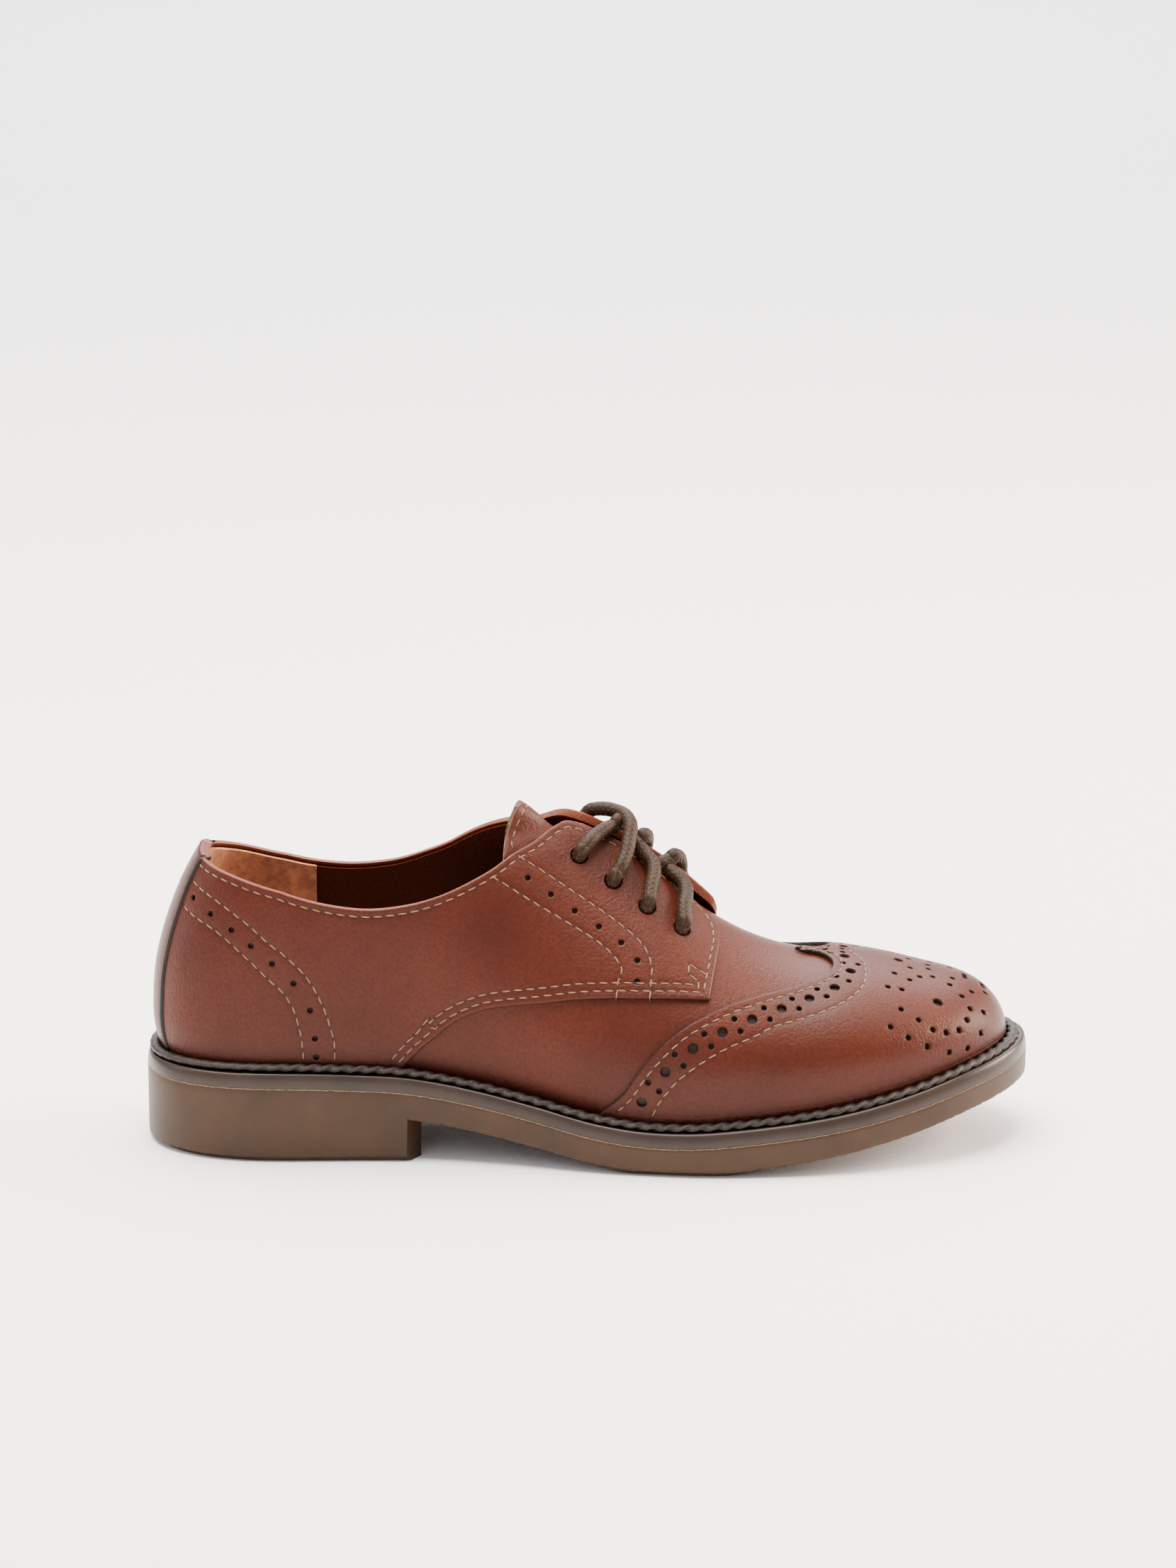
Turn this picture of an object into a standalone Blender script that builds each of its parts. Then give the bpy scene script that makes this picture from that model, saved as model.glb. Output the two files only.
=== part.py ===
"""Brogue shoe, right foot, junior size EU 35: a wingtip derby on a gum sole.

X runs from heel to toe, Z is up, -Y is the outer (lateral) side. The origin is the middle of the
sole's box, on the floor. Lengths are in metres. Every leather piece is a sheet laid on one last,
whose points come from last_points().
"""
import math

import bmesh
import bpy
import numpy as np
from mathutils import Vector
from mathutils.geometry import delaunay_2d_cdt

MM = 0.001
LATERAL = -1
MEDIAL = 1

# Sole
SOLE_LENGTH = 240 * MM
BALL_WIDTH = 84.4 * MM
HEEL_WIDTH = 59 * MM
TOE_SWING = 5 * MM
HEEL_CENTRE = 38 * MM
HEEL_BREAST = 71.4 * MM
FOREPART_THICKNESS = 11.9 * MM
HEEL_LIFT = 12.3 * MM
TOE_SPRING = 15.1 * MM
MIDSOLE_THICKNESS = 4.1 * MM
GUM_THICKNESS = 7.2 * MM
MIDSOLE_SLOPE = 1.0 * MM
MIDSOLE_TUCK = 0.15 * MM
SEAM_GAP = 0.05 * MM
TREAD_HEIGHT = 1.3 * MM
TREAD_INSET = 2.2 * MM
BREAST_SLANT = 2.5 * MM
STATION_PITCH = 5.5 * MM
MIDSOLE_PITCH = 7 * MM

# Last
INSTEP_HEIGHT = 71 * MM
COUNTER_HEIGHT = 57 * MM
WELT_LEDGE = 6.6 * MM
TOE_LEDGE = 6.9 * MM
BOX_START = 188 * MM
FEATHER_LIFT = 0.8 * MM

# Leather and trim
UPPER_WALL = 1.6 * MM
OVERLAY_WALL = 1.2 * MM
CLEARANCE = 0.3 * MM
LAYER_GAP = 0.5 * MM
TONGUE_WALL = 2.0 * MM
TONGUE_GAP = 0.6 * MM
TONGUE_FLARE = 4.2 * MM
FACING_LIFT = {LATERAL: 1.2 * MM, MEDIAL: 3.2 * MM}
INSOLE_THICKNESS = 2.4 * MM
INSOLE_INSET = 0.4 * MM
ROPE_WIDTH = 3.0 * MM
ROPE_HEIGHT = 1.7 * MM
ROPE_SIDES = 6
PIPING_DIAMETER = 1.6 * MM
EYELET_DIAMETER = 4.6 * MM
LACE_DIAMETER = 4.0 * MM
LACE_GAP = 0.9 * MM
CAP_FACET = 6.0 * MM
QUARTER_FACET = 5.0 * MM
STRIP_FACET = 3.4 * MM

# Climb is the share of the way from the feather edge (0) up to the last's ridge (1).
BELLY_CLIMB = 0.16
FEATHER_CLIMB = 0.03
SHELL_FOOT = 0.006
OVERLAY_FOOT = 0.012
ROPE_CLIMB = 0.014
TIP = 0.995
TOE_MAP = 0.80
THROAT = 0.600
SLOT_ROUND = 0.02
SHELL_DROP = 0.008
SHELL_LIMIT = 0.945
COLLAR_TURN = 0.380
TONGUE_BOW = 0.012

# Where the facings stand off the last, and where the tongue's free end does
LIFT_REAR = 0.425
LIFT_FRONT = 0.570
LIFT_RUN = 0.040
LIFT_CLIMB = 0.80
FLARE_FRONT = 0.475
FLARE_RUN = 0.060
FLARE_MARGIN = 0.045
FLARE_CLIMB = 0.16

# Half widths of the sole from its swing line, as shares of the width there
OUTLINE = np.array([
    # length, lateral, medial
    (0.000, 0.500, 0.500),
    (0.158, 0.500, 0.500),
    (0.296, 0.495, 0.458),
    (0.354, 0.508, 0.422),
    (0.417, 0.515, 0.401),
    (0.500, 0.528, 0.411),
    (0.583, 0.532, 0.429),
    (0.646, 0.539, 0.450),
    (0.717, 0.5415, 0.4585),
    (1.000, 0.5415, 0.4585),
])

# The rim is the upper edge of the sole's side.
RIM = np.array([
    # length, share of HEEL_LIFT, share of TOE_SPRING
    (0.000, 1.030, 0.000),
    (0.220, 1.000, 0.000),
    (0.292, 0.927, 0.000),
    (0.355, 0.760, 0.000),
    (0.443, 0.420, 0.000),
    (0.510, 0.135, 0.000),
    (0.560, 0.020, 0.000),
    (0.610, 0.000, 0.008),
    (0.660, 0.000, 0.060),
    (0.730, 0.000, 0.178),
    (0.800, 0.000, 0.330),
    (0.870, 0.000, 0.550),
    (0.930, 0.000, 0.775),
    (1.000, 0.000, 1.000),
])

# Height of the gum's side ahead of the heel block
GUM = np.array([
    # length, share of GUM_THICKNESS
    (0.296, 1.02),
    (0.460, 1.00),
    (0.560, 0.96),
    (0.670, 1.02),
    (0.760, 0.96),
    (0.860, 0.91),
    (0.930, 0.88),
    (1.000, 0.87),
])

# Cross-sections of the last
SECTIONS = np.array([
    # length, rise of INSTEP_HEIGHT, belly of rise, swell of width, wall handle, crown handle
    (0.158, 1.100, 0.13, 0.030, 0.50, 0.80),
    (0.242, 1.070, 0.14, 0.035, 0.50, 0.82),
    (0.296, 1.050, 0.15, 0.040, 0.50, 0.80),
    (0.358, 1.035, 0.16, 0.045, 0.48, 0.68),
    (0.417, 1.017, 0.17, 0.050, 0.44, 0.46),
    (0.458, 1.000, 0.18, 0.055, 0.41, 0.32),
    (0.500, 0.977, 0.19, 0.055, 0.40, 0.26),
    (0.579, 0.845, 0.22, 0.055, 0.42, 0.34),
    (0.633, 0.687, 0.26, 0.055, 0.46, 0.42),
    (0.683, 0.570, 0.30, 0.050, 0.50, 0.50),
    (0.733, 0.489, 0.32, 0.045, 0.52, 0.54),
    (0.783, 0.449, 0.33, 0.040, 0.54, 0.56),
    (0.833, 0.400, 0.34, 0.040, 0.55, 0.57),
    (0.883, 0.358, 0.35, 0.040, 0.55, 0.57),
    (0.960, 0.345, 0.35, 0.040, 0.55, 0.57),
])

# Profile of the last's back
BACK = np.array([
    # height of COUNTER_HEIGHT, distance ahead of the sole's back of HEEL_CENTRE
    (0.00, 0.145),
    (0.07, 0.108),
    (0.16, 0.087),
    (0.26, 0.089),
    (0.39, 0.105),
    (0.53, 0.150),
    (0.70, 0.234),
    (0.82, 0.310),
    (0.93, 0.400),
    (1.00, 0.463),
    (1.16, 0.605),
    (1.40, 0.790),
])

# Where each side closes towards the toe, and how square its curve is
TOE_CURVE = {LATERAL: (0.70, 2.0), MEDIAL: (0.72, 2.1)}
HEEL_SQUARENESS = 2.3
BOX_SQUARENESS = 2.15

# The quarters' collar edge, from the heel's back to the facing's rounded top
COLLAR = np.array([
    # length, lateral climb, medial climb
    (0.000, 0.567, 0.567),
    (0.050, 0.547, 0.545),
    (0.102, 0.524, 0.516),
    (0.146, 0.495, 0.486),
    (0.187, 0.470, 0.470),
    (0.229, 0.458, 0.470),
    (0.257, 0.458, 0.480),
    (0.285, 0.470, 0.500),
    (0.314, 0.495, 0.540),
    (0.342, 0.534, 0.592),
    (0.369, 0.586, 0.665),
    (0.397, 0.655, 0.745),
    (0.414, 0.710, 0.792),
    (0.441, 0.795, 0.858),
    (0.458, 0.875, 0.908),
    (0.472, 0.938, 0.945),
    (0.490, 0.965, 0.965),
])

# The facing's edge and the quarter's front, down to its lower corner
FACING = np.array([
    # length, climb
    (0.490, 0.965),
    (0.540, 0.960),
    (0.590, 0.956),
    (0.615, 0.952),
    (0.630, 0.930),
    (0.641, 0.880),
    (0.646, 0.790),
    (0.643, 0.680),
    (0.638, 0.562),
    (0.635, 0.492),
])

# The quarter's lower edge, back from the corner to the feather edge
QUARTER_LOWER = np.array([
    # length, climb
    (0.635, 0.492),
    (0.583, 0.434),
    (0.533, 0.393),
    (0.490, 0.357),
    (0.447, 0.312),
    (0.385, 0.250),
    (0.345, 0.187),
    (0.315, 0.100),
    (0.293, 0.012),
])

# The wing's back edge, from the feather edge to its peak on the ridge
WING = np.array([
    # length, climb
    (0.513, 0.012),
    (0.538, 0.092),
    (0.560, 0.195),
    (0.586, 0.292),
    (0.616, 0.385),
    (0.648, 0.470),
    (0.682, 0.555),
    (0.714, 0.635),
    (0.744, 0.705),
    (0.765, 0.760),
    (0.775, 0.830),
    (0.773, 0.910),
    (0.758, 0.970),
    (0.735, 1.000),
])

STRIP_HALF = 0.0410
PIPING_LINE = 0.0470
QUARTER_BACK = 0.0530

# Outer edges of the tongue
TONGUE = np.array([
    # length, climb
    (0.409, 0.705),
    (0.440, 0.715),
    (0.500, 0.740),
    (0.560, 0.760),
    (0.600, 0.790),
    (0.625, 0.830),
])

EYELETS = np.array([
    # length, climb
    (0.603, 0.715),
    (0.565, 0.715),
    (0.527, 0.743),
    (0.489, 0.785),
])


def smooth(table, column, x):
    """Read a table's column at x, along cubic pieces that share their slopes."""
    xs = table[:, 0]
    ys = table[:, column]
    slopes = np.gradient(ys, xs)
    i = np.clip(np.searchsorted(xs, x) - 1, 0, len(xs) - 2)
    step = xs[i + 1] - xs[i]
    t = np.clip((x - xs[i]) / step, 0, 1)
    rest = 1 - t
    return (ys[i] * (1 + 2 * t) * rest**2 + ys[i + 1] * (3 - 2 * t) * t**2
            + step * (slopes[i] * t * rest**2 - slopes[i + 1] * rest * t**2))


def ease(t):
    """A soft step from 0 to 1."""
    t = np.clip(t, 0, 1)
    return t * t * (3 - 2 * t)


def closing(t, squareness):
    """A superellipse's height: 1 at t = 0 and 0 at t = 1."""
    return (1 - np.clip(t, 0, 1) ** squareness) ** (1 / squareness)


def swing(x):
    """The curve of the foot's long axis towards the inner side."""
    return TOE_SWING * ease((x / SOLE_LENGTH - 0.4) / 0.6)


def rim_height(x):
    share = x / SOLE_LENGTH
    return (FOREPART_THICKNESS + HEEL_LIFT * smooth(RIM, 1, share)
            + TOE_SPRING * smooth(RIM, 2, share))


def open_half_width(x, side):
    """The sole's half width before its heel and toe are rounded."""
    share = x / SOLE_LENGTH
    width = HEEL_WIDTH + (BALL_WIDTH - HEEL_WIDTH) * ease((share - 0.3) / 0.35)
    return width * smooth(OUTLINE, 1 if side == LATERAL else 2, share)


def sole_half_width(x, side):
    start, squareness = TOE_CURVE[side]
    start *= SOLE_LENGTH
    toe = closing((x - start) / (SOLE_LENGTH - start), squareness)
    heel = closing((HEEL_CENTRE - x) / HEEL_CENTRE, HEEL_SQUARENESS)
    return open_half_width(x, side) * toe * heel


def side_foot(x):
    """Height of the side's lower edge ahead of the heel: low at the ball, with arch and toe spring."""
    gum = GUM_THICKNESS * smooth(GUM, 1, x / SOLE_LENGTH)
    return np.maximum(rim_height(x) - MIDSOLE_THICKNESS - gum, TREAD_HEIGHT)


def tread_height(x):
    """The tread stands under the side's foot at the ball, and fades into it off the floor."""
    foot = side_foot(x)
    return foot - TREAD_HEIGHT * ease(1.5 - foot / (2 * TREAD_HEIGHT))


def last_section(x, climb, sign):
    """Half width and height above the feather edge, for sections across the last."""
    lateral = sign < 0
    tip = SOLE_LENGTH - TOE_LEDGE
    start = np.where(lateral, TOE_CURVE[LATERAL][0], TOE_CURVE[MEDIAL][0]) * SOLE_LENGTH
    squareness = np.where(lateral, TOE_CURVE[LATERAL][1], TOE_CURVE[MEDIAL][1])
    plan = closing((x - start) / (tip - start), squareness)
    profile = closing((x - BOX_START) / (tip - BOX_START), BOX_SQUARENESS)
    open_half = np.where(lateral, open_half_width(x, LATERAL), open_half_width(x, MEDIAL))
    share = x / SOLE_LENGTH
    feather = (open_half - WELT_LEDGE) * plan
    widest = feather * (1 + smooth(SECTIONS, 3, share))
    rise = INSTEP_HEIGHT * smooth(SECTIONS, 1, share) * profile
    belly = rise * smooth(SECTIONS, 2, share)
    wall = smooth(SECTIONS, 4, share)
    crown = smooth(SECTIONS, 5, share)

    low = np.clip(climb / BELLY_CLIMB, 0, 1)
    t = np.clip((climb - BELLY_CLIMB) / (1 - BELLY_CLIMB), 0, 1)
    rest = 1 - t
    y_low = feather + (widest - feather) * np.sin(low * math.pi / 2)
    y_high = widest * (rest**3 + 3 * t * rest**2 + crown * 3 * t * t * rest)
    z_high = belly + (rise - belly) * (wall * 3 * t * rest**2 + 3 * t * t * rest + t**3)
    below = climb < BELLY_CLIMB
    return np.where(below, y_low, y_high), np.where(below, belly * low, z_high)


def last_points(length, climb, sign):
    """Points of the last: length runs from 0 at the heel's back to 1 at the toe's tip."""
    length, climb, sign = np.broadcast_arrays(
        np.asarray(length, float), np.asarray(climb, float), np.asarray(sign, float))
    tip = SOLE_LENGTH - TOE_LEDGE
    heel_share = HEEL_CENTRE / SOLE_LENGTH
    toe_start = TOE_MAP * SOLE_LENGTH
    nose = np.clip((length - TOE_MAP) / (1 - TOE_MAP), 0, 1) * math.pi / 2
    body = np.maximum(length * SOLE_LENGTH, HEEL_CENTRE)
    x = np.where(length > TOE_MAP, toe_start + (tip - toe_start) * np.sin(nose), body)
    y, height = last_section(x, climb, sign)

    turn = np.clip(1 - length / heel_share, 0, 1) * math.pi / 2
    back = HEEL_CENTRE * smooth(BACK, 1, height / COUNTER_HEIGHT)
    in_heel = length < heel_share
    square = HEEL_SQUARENESS
    spread = (np.sin(turn) ** square + np.cos(turn) ** square) ** (-1 / square)
    x = np.where(in_heel, HEEL_CENTRE - (HEEL_CENTRE - back) * np.sin(turn) * spread, x)
    y = np.where(in_heel, y * np.cos(turn) * spread, y)
    foot = rim_height(x) + FEATHER_LIFT * ease(climb / FEATHER_CLIMB)
    return np.stack([x, sign * y + swing(x), height + foot], -1)


def last_normals(length, climb, sign):
    step = 1e-3
    climb = np.clip(climb, 0, 1)
    along = (last_points(np.clip(length + step, 0, 1), climb, sign)
             - last_points(np.clip(length - step, 0, 1), climb, sign))
    up = (last_points(length, np.clip(climb + step, 0, 1), sign)
          - last_points(length, np.clip(climb - step, 0, 1), sign))
    normals = np.cross(along, up) * -np.asarray(sign, float)[..., None]
    return normals / np.linalg.norm(normals, axis=-1, keepdims=True)


def on_last(length, climb, sign, offset):
    """Points that stand off the last by offset, along its normals, and clear of the sole."""
    length, climb, sign, offset = np.broadcast_arrays(
        np.asarray(length, float), np.asarray(climb, float),
        np.asarray(sign, float), np.asarray(offset, float))
    normals = last_normals(length, climb, sign)
    points = last_points(length, climb, sign) + normals * offset[..., None]
    points[..., 2] = np.maximum(points[..., 2], rim_height(points[..., 0]) + CLEARANCE)
    return points


def box_centre():
    """The middle of the sole's box, which is the part's origin."""
    x = np.linspace(0, SOLE_LENGTH, 2001)
    low = (swing(x) - sole_half_width(x, LATERAL)).min()
    high = (swing(x) + sole_half_width(x, MEDIAL)).max()
    return np.array([SOLE_LENGTH / 2, (low + high) / 2, 0])


def new_object(name, points, faces, material):
    """Make one closed object, its faces pointing outwards."""
    mesh = bpy.data.meshes.new(name)
    mesh.from_pydata((points - box_centre()).tolist(), [], faces)
    work = bmesh.new()
    work.from_mesh(mesh)
    bmesh.ops.remove_doubles(work, verts=work.verts, dist=0.002 * MM)
    bmesh.ops.dissolve_degenerate(work, edges=work.edges, dist=0.002 * MM)
    bmesh.ops.recalc_face_normals(work, faces=work.faces)
    work.to_mesh(mesh)
    work.free()
    mesh.materials.append(material)
    obj = bpy.data.objects.new(name, mesh)
    bpy.context.collection.objects.link(obj)
    return obj


def new_material(name, colour, roughness):
    material = bpy.data.materials.new(name)
    material.use_nodes = True
    shader = material.node_tree.nodes["Principled BSDF"]
    linear = [((int(colour[i:i + 2], 16) / 255 + 0.055) / 1.055) ** 2.4 for i in (1, 3, 5)]
    shader.inputs["Base Color"].default_value = (*linear, 1)
    shader.inputs["Roughness"].default_value = roughness
    shader.inputs["Metallic"].default_value = 0
    return material


def ring_faces(rings, size, closed=False):
    """Quads between neighbouring rings of the same size, with end caps unless closed."""
    faces = []
    for i in range(rings if closed else rings - 1):
        here = i * size
        there = (i + 1) % rings * size
        for j in range(size):
            k = (j + 1) % size
            faces.append((here + j, here + k, there + k, there + j))
    if not closed:
        faces.append(tuple(range(size))[::-1])
        faces.append(tuple((rings - 1) * size + j for j in range(size)))
    return faces


def sole_stations(heel_steps, toe_steps, pitch):
    """Lengths along the sole, close together where the outline turns."""
    turn = np.linspace(0, math.pi / 2, heel_steps + 1)
    heel = HEEL_CENTRE * (1 - np.cos(turn))
    toe_start = TOE_CURVE[LATERAL][0] * SOLE_LENGTH
    turn = np.linspace(0, math.pi / 2, toe_steps + 1)
    toe = toe_start + (SOLE_LENGTH - toe_start) * np.sin(turn)
    middle = np.arange(HEEL_CENTRE + pitch, toe_start - pitch / 2, pitch)
    return np.concatenate([heel, middle, toe])


def sole_slab(name, stations, levels, material, slant=0):
    """A plate with the sole's outline, whose stations may slant back on the inner side.

    levels(x) lists (inset, height) up the side, for stations that lie at x.
    """
    rings = []
    for side in (LATERAL, MEDIAL):
        along = stations - slant * (side == MEDIAL)
        for inset, z in levels(along)[::-side]:
            x = inset + along * (1 - 2 * inset / SOLE_LENGTH)
            half = sole_half_width(along, side) * (1 - 2 * inset / BALL_WIDTH)
            rings.append(np.stack([x, swing(along) + side * half, z + 0 * along], -1))
    points = np.stack(rings, 1)
    count, size = points.shape[:2]
    return new_object(name, points.reshape(-1, 3), ring_faces(count, size), material)


def make_outsole(material):
    """Gum sole and heel block: upright side, recessed tread and the step of the heel breast."""
    stations = sole_stations(10, 14, STATION_PITCH)
    stations = stations[np.abs(stations - HEEL_BREAST) > STATION_PITCH / 4]
    breast = [HEEL_BREAST, HEEL_BREAST + CLEARANCE]
    stations = np.sort(np.concatenate([stations, breast]))
    on_heel = stations <= HEEL_BREAST
    slant = BREAST_SLANT * ease(1 - np.abs(stations - HEEL_BREAST) / (HEEL_CENTRE / 2))

    def levels(x):
        foot = np.where(on_heel, TREAD_HEIGHT, side_foot(x))
        tread = np.where(on_heel, 0, tread_height(x))
        return [(TREAD_INSET + CLEARANCE, tread), (TREAD_INSET, foot), (0, foot),
                (0, rim_height(x) - MIDSOLE_THICKNESS)]

    return sole_slab("outsole", stations, levels, material, slant)


def make_midsole(material):
    def levels(x):
        return [(MIDSOLE_TUCK, rim_height(x) - MIDSOLE_THICKNESS + SEAM_GAP),
                (MIDSOLE_SLOPE, rim_height(x))]

    return sole_slab("midsole", sole_stations(10, 14, MIDSOLE_PITCH), levels, material)


def around_last(count):
    """Length and side along the last's plan, from the toe's tip round the heel and back."""
    half = np.concatenate([
        np.linspace(TIP, TOE_MAP, count // 3, endpoint=False),
        np.linspace(TOE_MAP, HEEL_CENTRE / SOLE_LENGTH, count // 3, endpoint=False),
        np.linspace(HEEL_CENTRE / SOLE_LENGTH, 0, count // 4, endpoint=False),
    ])
    length = np.concatenate([half, [0], half[::-1]])
    sign = np.concatenate([np.full(len(half) + 1, LATERAL), np.full(len(half), MEDIAL)])
    return length, sign


def make_storm_welt(material):
    """The dark welt cord that lies on the sole's ledge, round the foot of the upper."""
    length, sign = around_last(38)
    reach = LAYER_GAP + OVERLAY_WALL + CLEARANCE + ROPE_WIDTH / 2
    outward = last_normals(length, ROPE_CLIMB, sign)
    outward[:, 2] = 0
    spread = np.linalg.norm(outward, axis=1, keepdims=True)
    centre = last_points(length, ROPE_CLIMB, sign) + outward / spread**2 * reach
    centre[:, 2] = rim_height(centre[:, 0]) + CLEARANCE + ROPE_HEIGHT / 2
    flow = np.roll(centre, -1, 0) - np.roll(centre, 1, 0)
    flow[:, 2] = 0
    across = np.cross(flow, [0, 0, 1.0])
    across /= np.linalg.norm(across, axis=1, keepdims=True)
    rings = []
    for angle in np.arange(ROPE_SIDES) / ROPE_SIDES * math.tau:
        side = across * math.cos(angle) * ROPE_WIDTH / 2
        rings.append(centre + side + np.array([0, 0, math.sin(angle) * ROPE_HEIGHT / 2]))
    points = np.stack(rings, 1)
    faces = ring_faces(len(points), ROPE_SIDES, closed=True)
    return new_object("storm_welt", points.reshape(-1, 3), faces, material)


def make_insole(material):
    """The sock that the foot stands on, inside the upper's foot."""
    length, sign = around_last(32)
    outline = on_last(length, SHELL_FOOT, sign, -UPPER_WALL - CLEARANCE - INSOLE_INSET)
    half = len(length) // 2
    lateral = outline[:half + 1]
    medial = outline[half:][::-1]
    middle = (lateral + medial) / 2
    rings = []
    for lift in (LAYER_GAP, LAYER_GAP + INSOLE_THICKNESS):
        row = []
        for edge, share in ((lateral, 0), (lateral, 0.5), (medial, 0.5), (medial, 0)):
            point = edge + (middle - edge) * share
            point[:, 2] = rim_height(point[:, 0]) + lift
            row.append(point)
        rings.append(row if lift == LAYER_GAP else row[::-1])
    points = np.stack(rings[0] + rings[1], 1)
    count, size = points.shape[:2]
    return new_object("insole", points.reshape(-1, 3), ring_faces(count, size), material)


def shell_top(length, sign):
    """Climb of the shell's upper edge: collar, facing and the slot down to the throat."""
    collar = np.where(sign < 0, smooth(COLLAR, 1, length), smooth(COLLAR, 2, length))
    collar = np.minimum(collar, SHELL_LIMIT) - SHELL_DROP
    slot = closing((THROAT - length) / SLOT_ROUND, 2)
    slot = 1 - (1 - collar) * np.where(length < THROAT, 1 - slot, 0)
    return np.where(length < THROAT - SLOT_ROUND, collar, slot)


def make_upper(material):
    """Vamp and quarter lining as one hollow shell, open at collar, throat and underneath."""
    toe_turn = (TIP + TOE_MAP) / 2
    steep = COLLAR[COLLAR[:, 0] > COLLAR_TURN, 0][::-1]
    half = np.concatenate([
        np.linspace(TIP, toe_turn, 7, endpoint=False),
        np.linspace(toe_turn, THROAT, 10, endpoint=False),
        THROAT - SLOT_ROUND * np.array([0, 0.25, 0.7, 1]),
        np.linspace(THROAT - 2 * SLOT_ROUND, steep[0], 3, endpoint=False),
        steep,
        np.linspace(steep[-1], HEEL_CENTRE / SOLE_LENGTH, 9, endpoint=False)[1:],
        np.linspace(HEEL_CENTRE / SOLE_LENGTH, 0, 11, endpoint=False),
    ])
    length = np.concatenate([half, [0], half[::-1]])
    sign = np.concatenate([np.full(len(half) + 1, LATERAL), np.full(len(half), MEDIAL)])
    rows = 9
    top = shell_top(length, sign)
    share = np.linspace(0, 1, rows) ** 0.9
    climb = SHELL_FOOT + (top - SHELL_FOOT)[:, None] * share
    grid_length = length[:, None] + 0 * climb
    grid_sign = sign[:, None] + 0 * climb
    outer = on_last(grid_length, climb, grid_sign, 0)
    inner = on_last(grid_length, climb, grid_sign, -UPPER_WALL)
    columns = len(length)
    bridged = int(np.sum(half >= THROAT))

    # Both sides of a bridged column share the outer and the inner point on the ridge.
    for layer in (outer, inner):
        middle = (layer[:bridged, -1] + layer[::-1][:bridged, -1]) / 2
        layer[:bridged, -1] = middle
        layer[::-1][:bridged, -1] = middle
    points = np.concatenate([outer.reshape(-1, 3), inner.reshape(-1, 3)])
    back = columns * rows
    faces = []
    for i in range(columns - 1):
        for j in range(rows - 1):
            a = i * rows + j
            quad = (a, a + 1, a + rows + 1, a + rows)
            faces.append(quad)
            faces.append(tuple(back + k for k in quad[::-1]))
        foot = i * rows
        faces.append((foot, foot + rows, back + foot + rows, back + foot))
        edge = foot + rows - 1
        if bridged - 1 <= i < columns - bridged:
            faces.append((edge, back + edge, back + edge + rows, edge + rows))
    for column in (0, columns - 1):
        for j in range(rows - 1):
            a = column * rows + j
            faces.append((a, a + 1, back + a + 1, back + a))
    return new_object("upper", points, faces, material)


def tongue_flare(length, climb):
    """How far the tongue's free end stands out, most along the ridge."""
    shell = np.maximum(shell_top(length, LATERAL), shell_top(length, MEDIAL))
    ridge = ease((climb - shell - FLARE_MARGIN) / FLARE_CLIMB)
    return TONGUE_FLARE * ease((FLARE_FRONT - length) / FLARE_RUN) * ridge


def facing_lift(length, climb, sign):
    """How far a facing stands off the last: the outer one at its top, the inner one all along."""
    rear = ease((length - LIFT_REAR) / LIFT_RUN)
    outer = FACING_LIFT[LATERAL] * ease((LIFT_FRONT - length) / LIFT_RUN)
    rise = ease((climb - LIFT_CLIMB) / (FACING[0, 1] - LIFT_CLIMB))
    return rear * rise * np.where(sign < 0, outer, FACING_LIFT[MEDIAL])


def make_tongue(material):
    """The tongue under the facings, with its free end standing out of the collar."""
    rows = 15
    rear, front = TONGUE[0, 0], TONGUE[-1, 0]
    share = np.linspace(0, 1, 13)
    length = rear + (front - rear) * share**1.4
    edge = smooth(TONGUE, 1, length)
    across = np.linspace(-1, 1, rows)
    climb = 1 - (1 - edge)[:, None] * np.abs(across)
    sign = np.where(across < 0, LATERAL, MEDIAL) + 0 * climb
    bow = TONGUE_BOW * (1 - share)[:, None] ** 2 * (1 - across**2)
    grid = length[:, None] + bow
    top_offset = -UPPER_WALL - TONGUE_GAP + tongue_flare(grid, climb)
    top = on_last(grid, climb, sign, top_offset)
    under = on_last(grid, climb, sign, top_offset - TONGUE_WALL)
    points = np.concatenate([top, under[:, ::-1]], 1)
    count, size = points.shape[:2]
    return new_object("tongue", points.reshape(-1, 3), ring_faces(count, size), material)


def curve(rows, count):
    """Points along a smooth curve through the rows of a two-column table."""
    gaps = np.linalg.norm(np.diff(rows, axis=0), axis=1)
    along = np.concatenate([[0], np.cumsum(gaps)])
    t = np.linspace(0, along[-1], count)
    columns = [smooth(np.stack([along, rows[:, k]], 1), 1, t) for k in (0, 1)]
    return np.stack(columns, 1)


def straight(start, end, count):
    """Points from start to end, without the end."""
    t = np.linspace(0, 1, count, endpoint=False)[:, None]
    return np.asarray(start) + (np.asarray(end) - np.asarray(start)) * t


def inside(points, outline):
    """Which points lie inside a closed outline, by counting crossings."""
    x, y = points[:, :1], points[:, 1:]
    x1, y1 = outline[:, 0], outline[:, 1]
    x2, y2 = np.roll(x1, -1), np.roll(y1, -1)
    rise = np.where(y2 == y1, 1e-12, y2 - y1)
    crossing = ((y1 > y) != (y2 > y)) & (x < (x2 - x1) * (y - y1) / rise + x1)
    return crossing.sum(1) % 2 == 1


def edge_distance(points, outline):
    """Distance from each point to the nearest side of a closed outline."""
    start = outline
    run = np.roll(outline, -1, 0) - start
    square = (run**2).sum(1) + 1e-18
    t = ((points[:, None] - start) * run).sum(-1) / square
    foot = start + np.clip(t, 0, 1)[..., None] * run
    return np.linalg.norm(points[:, None] - foot, axis=-1).min(1)


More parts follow.
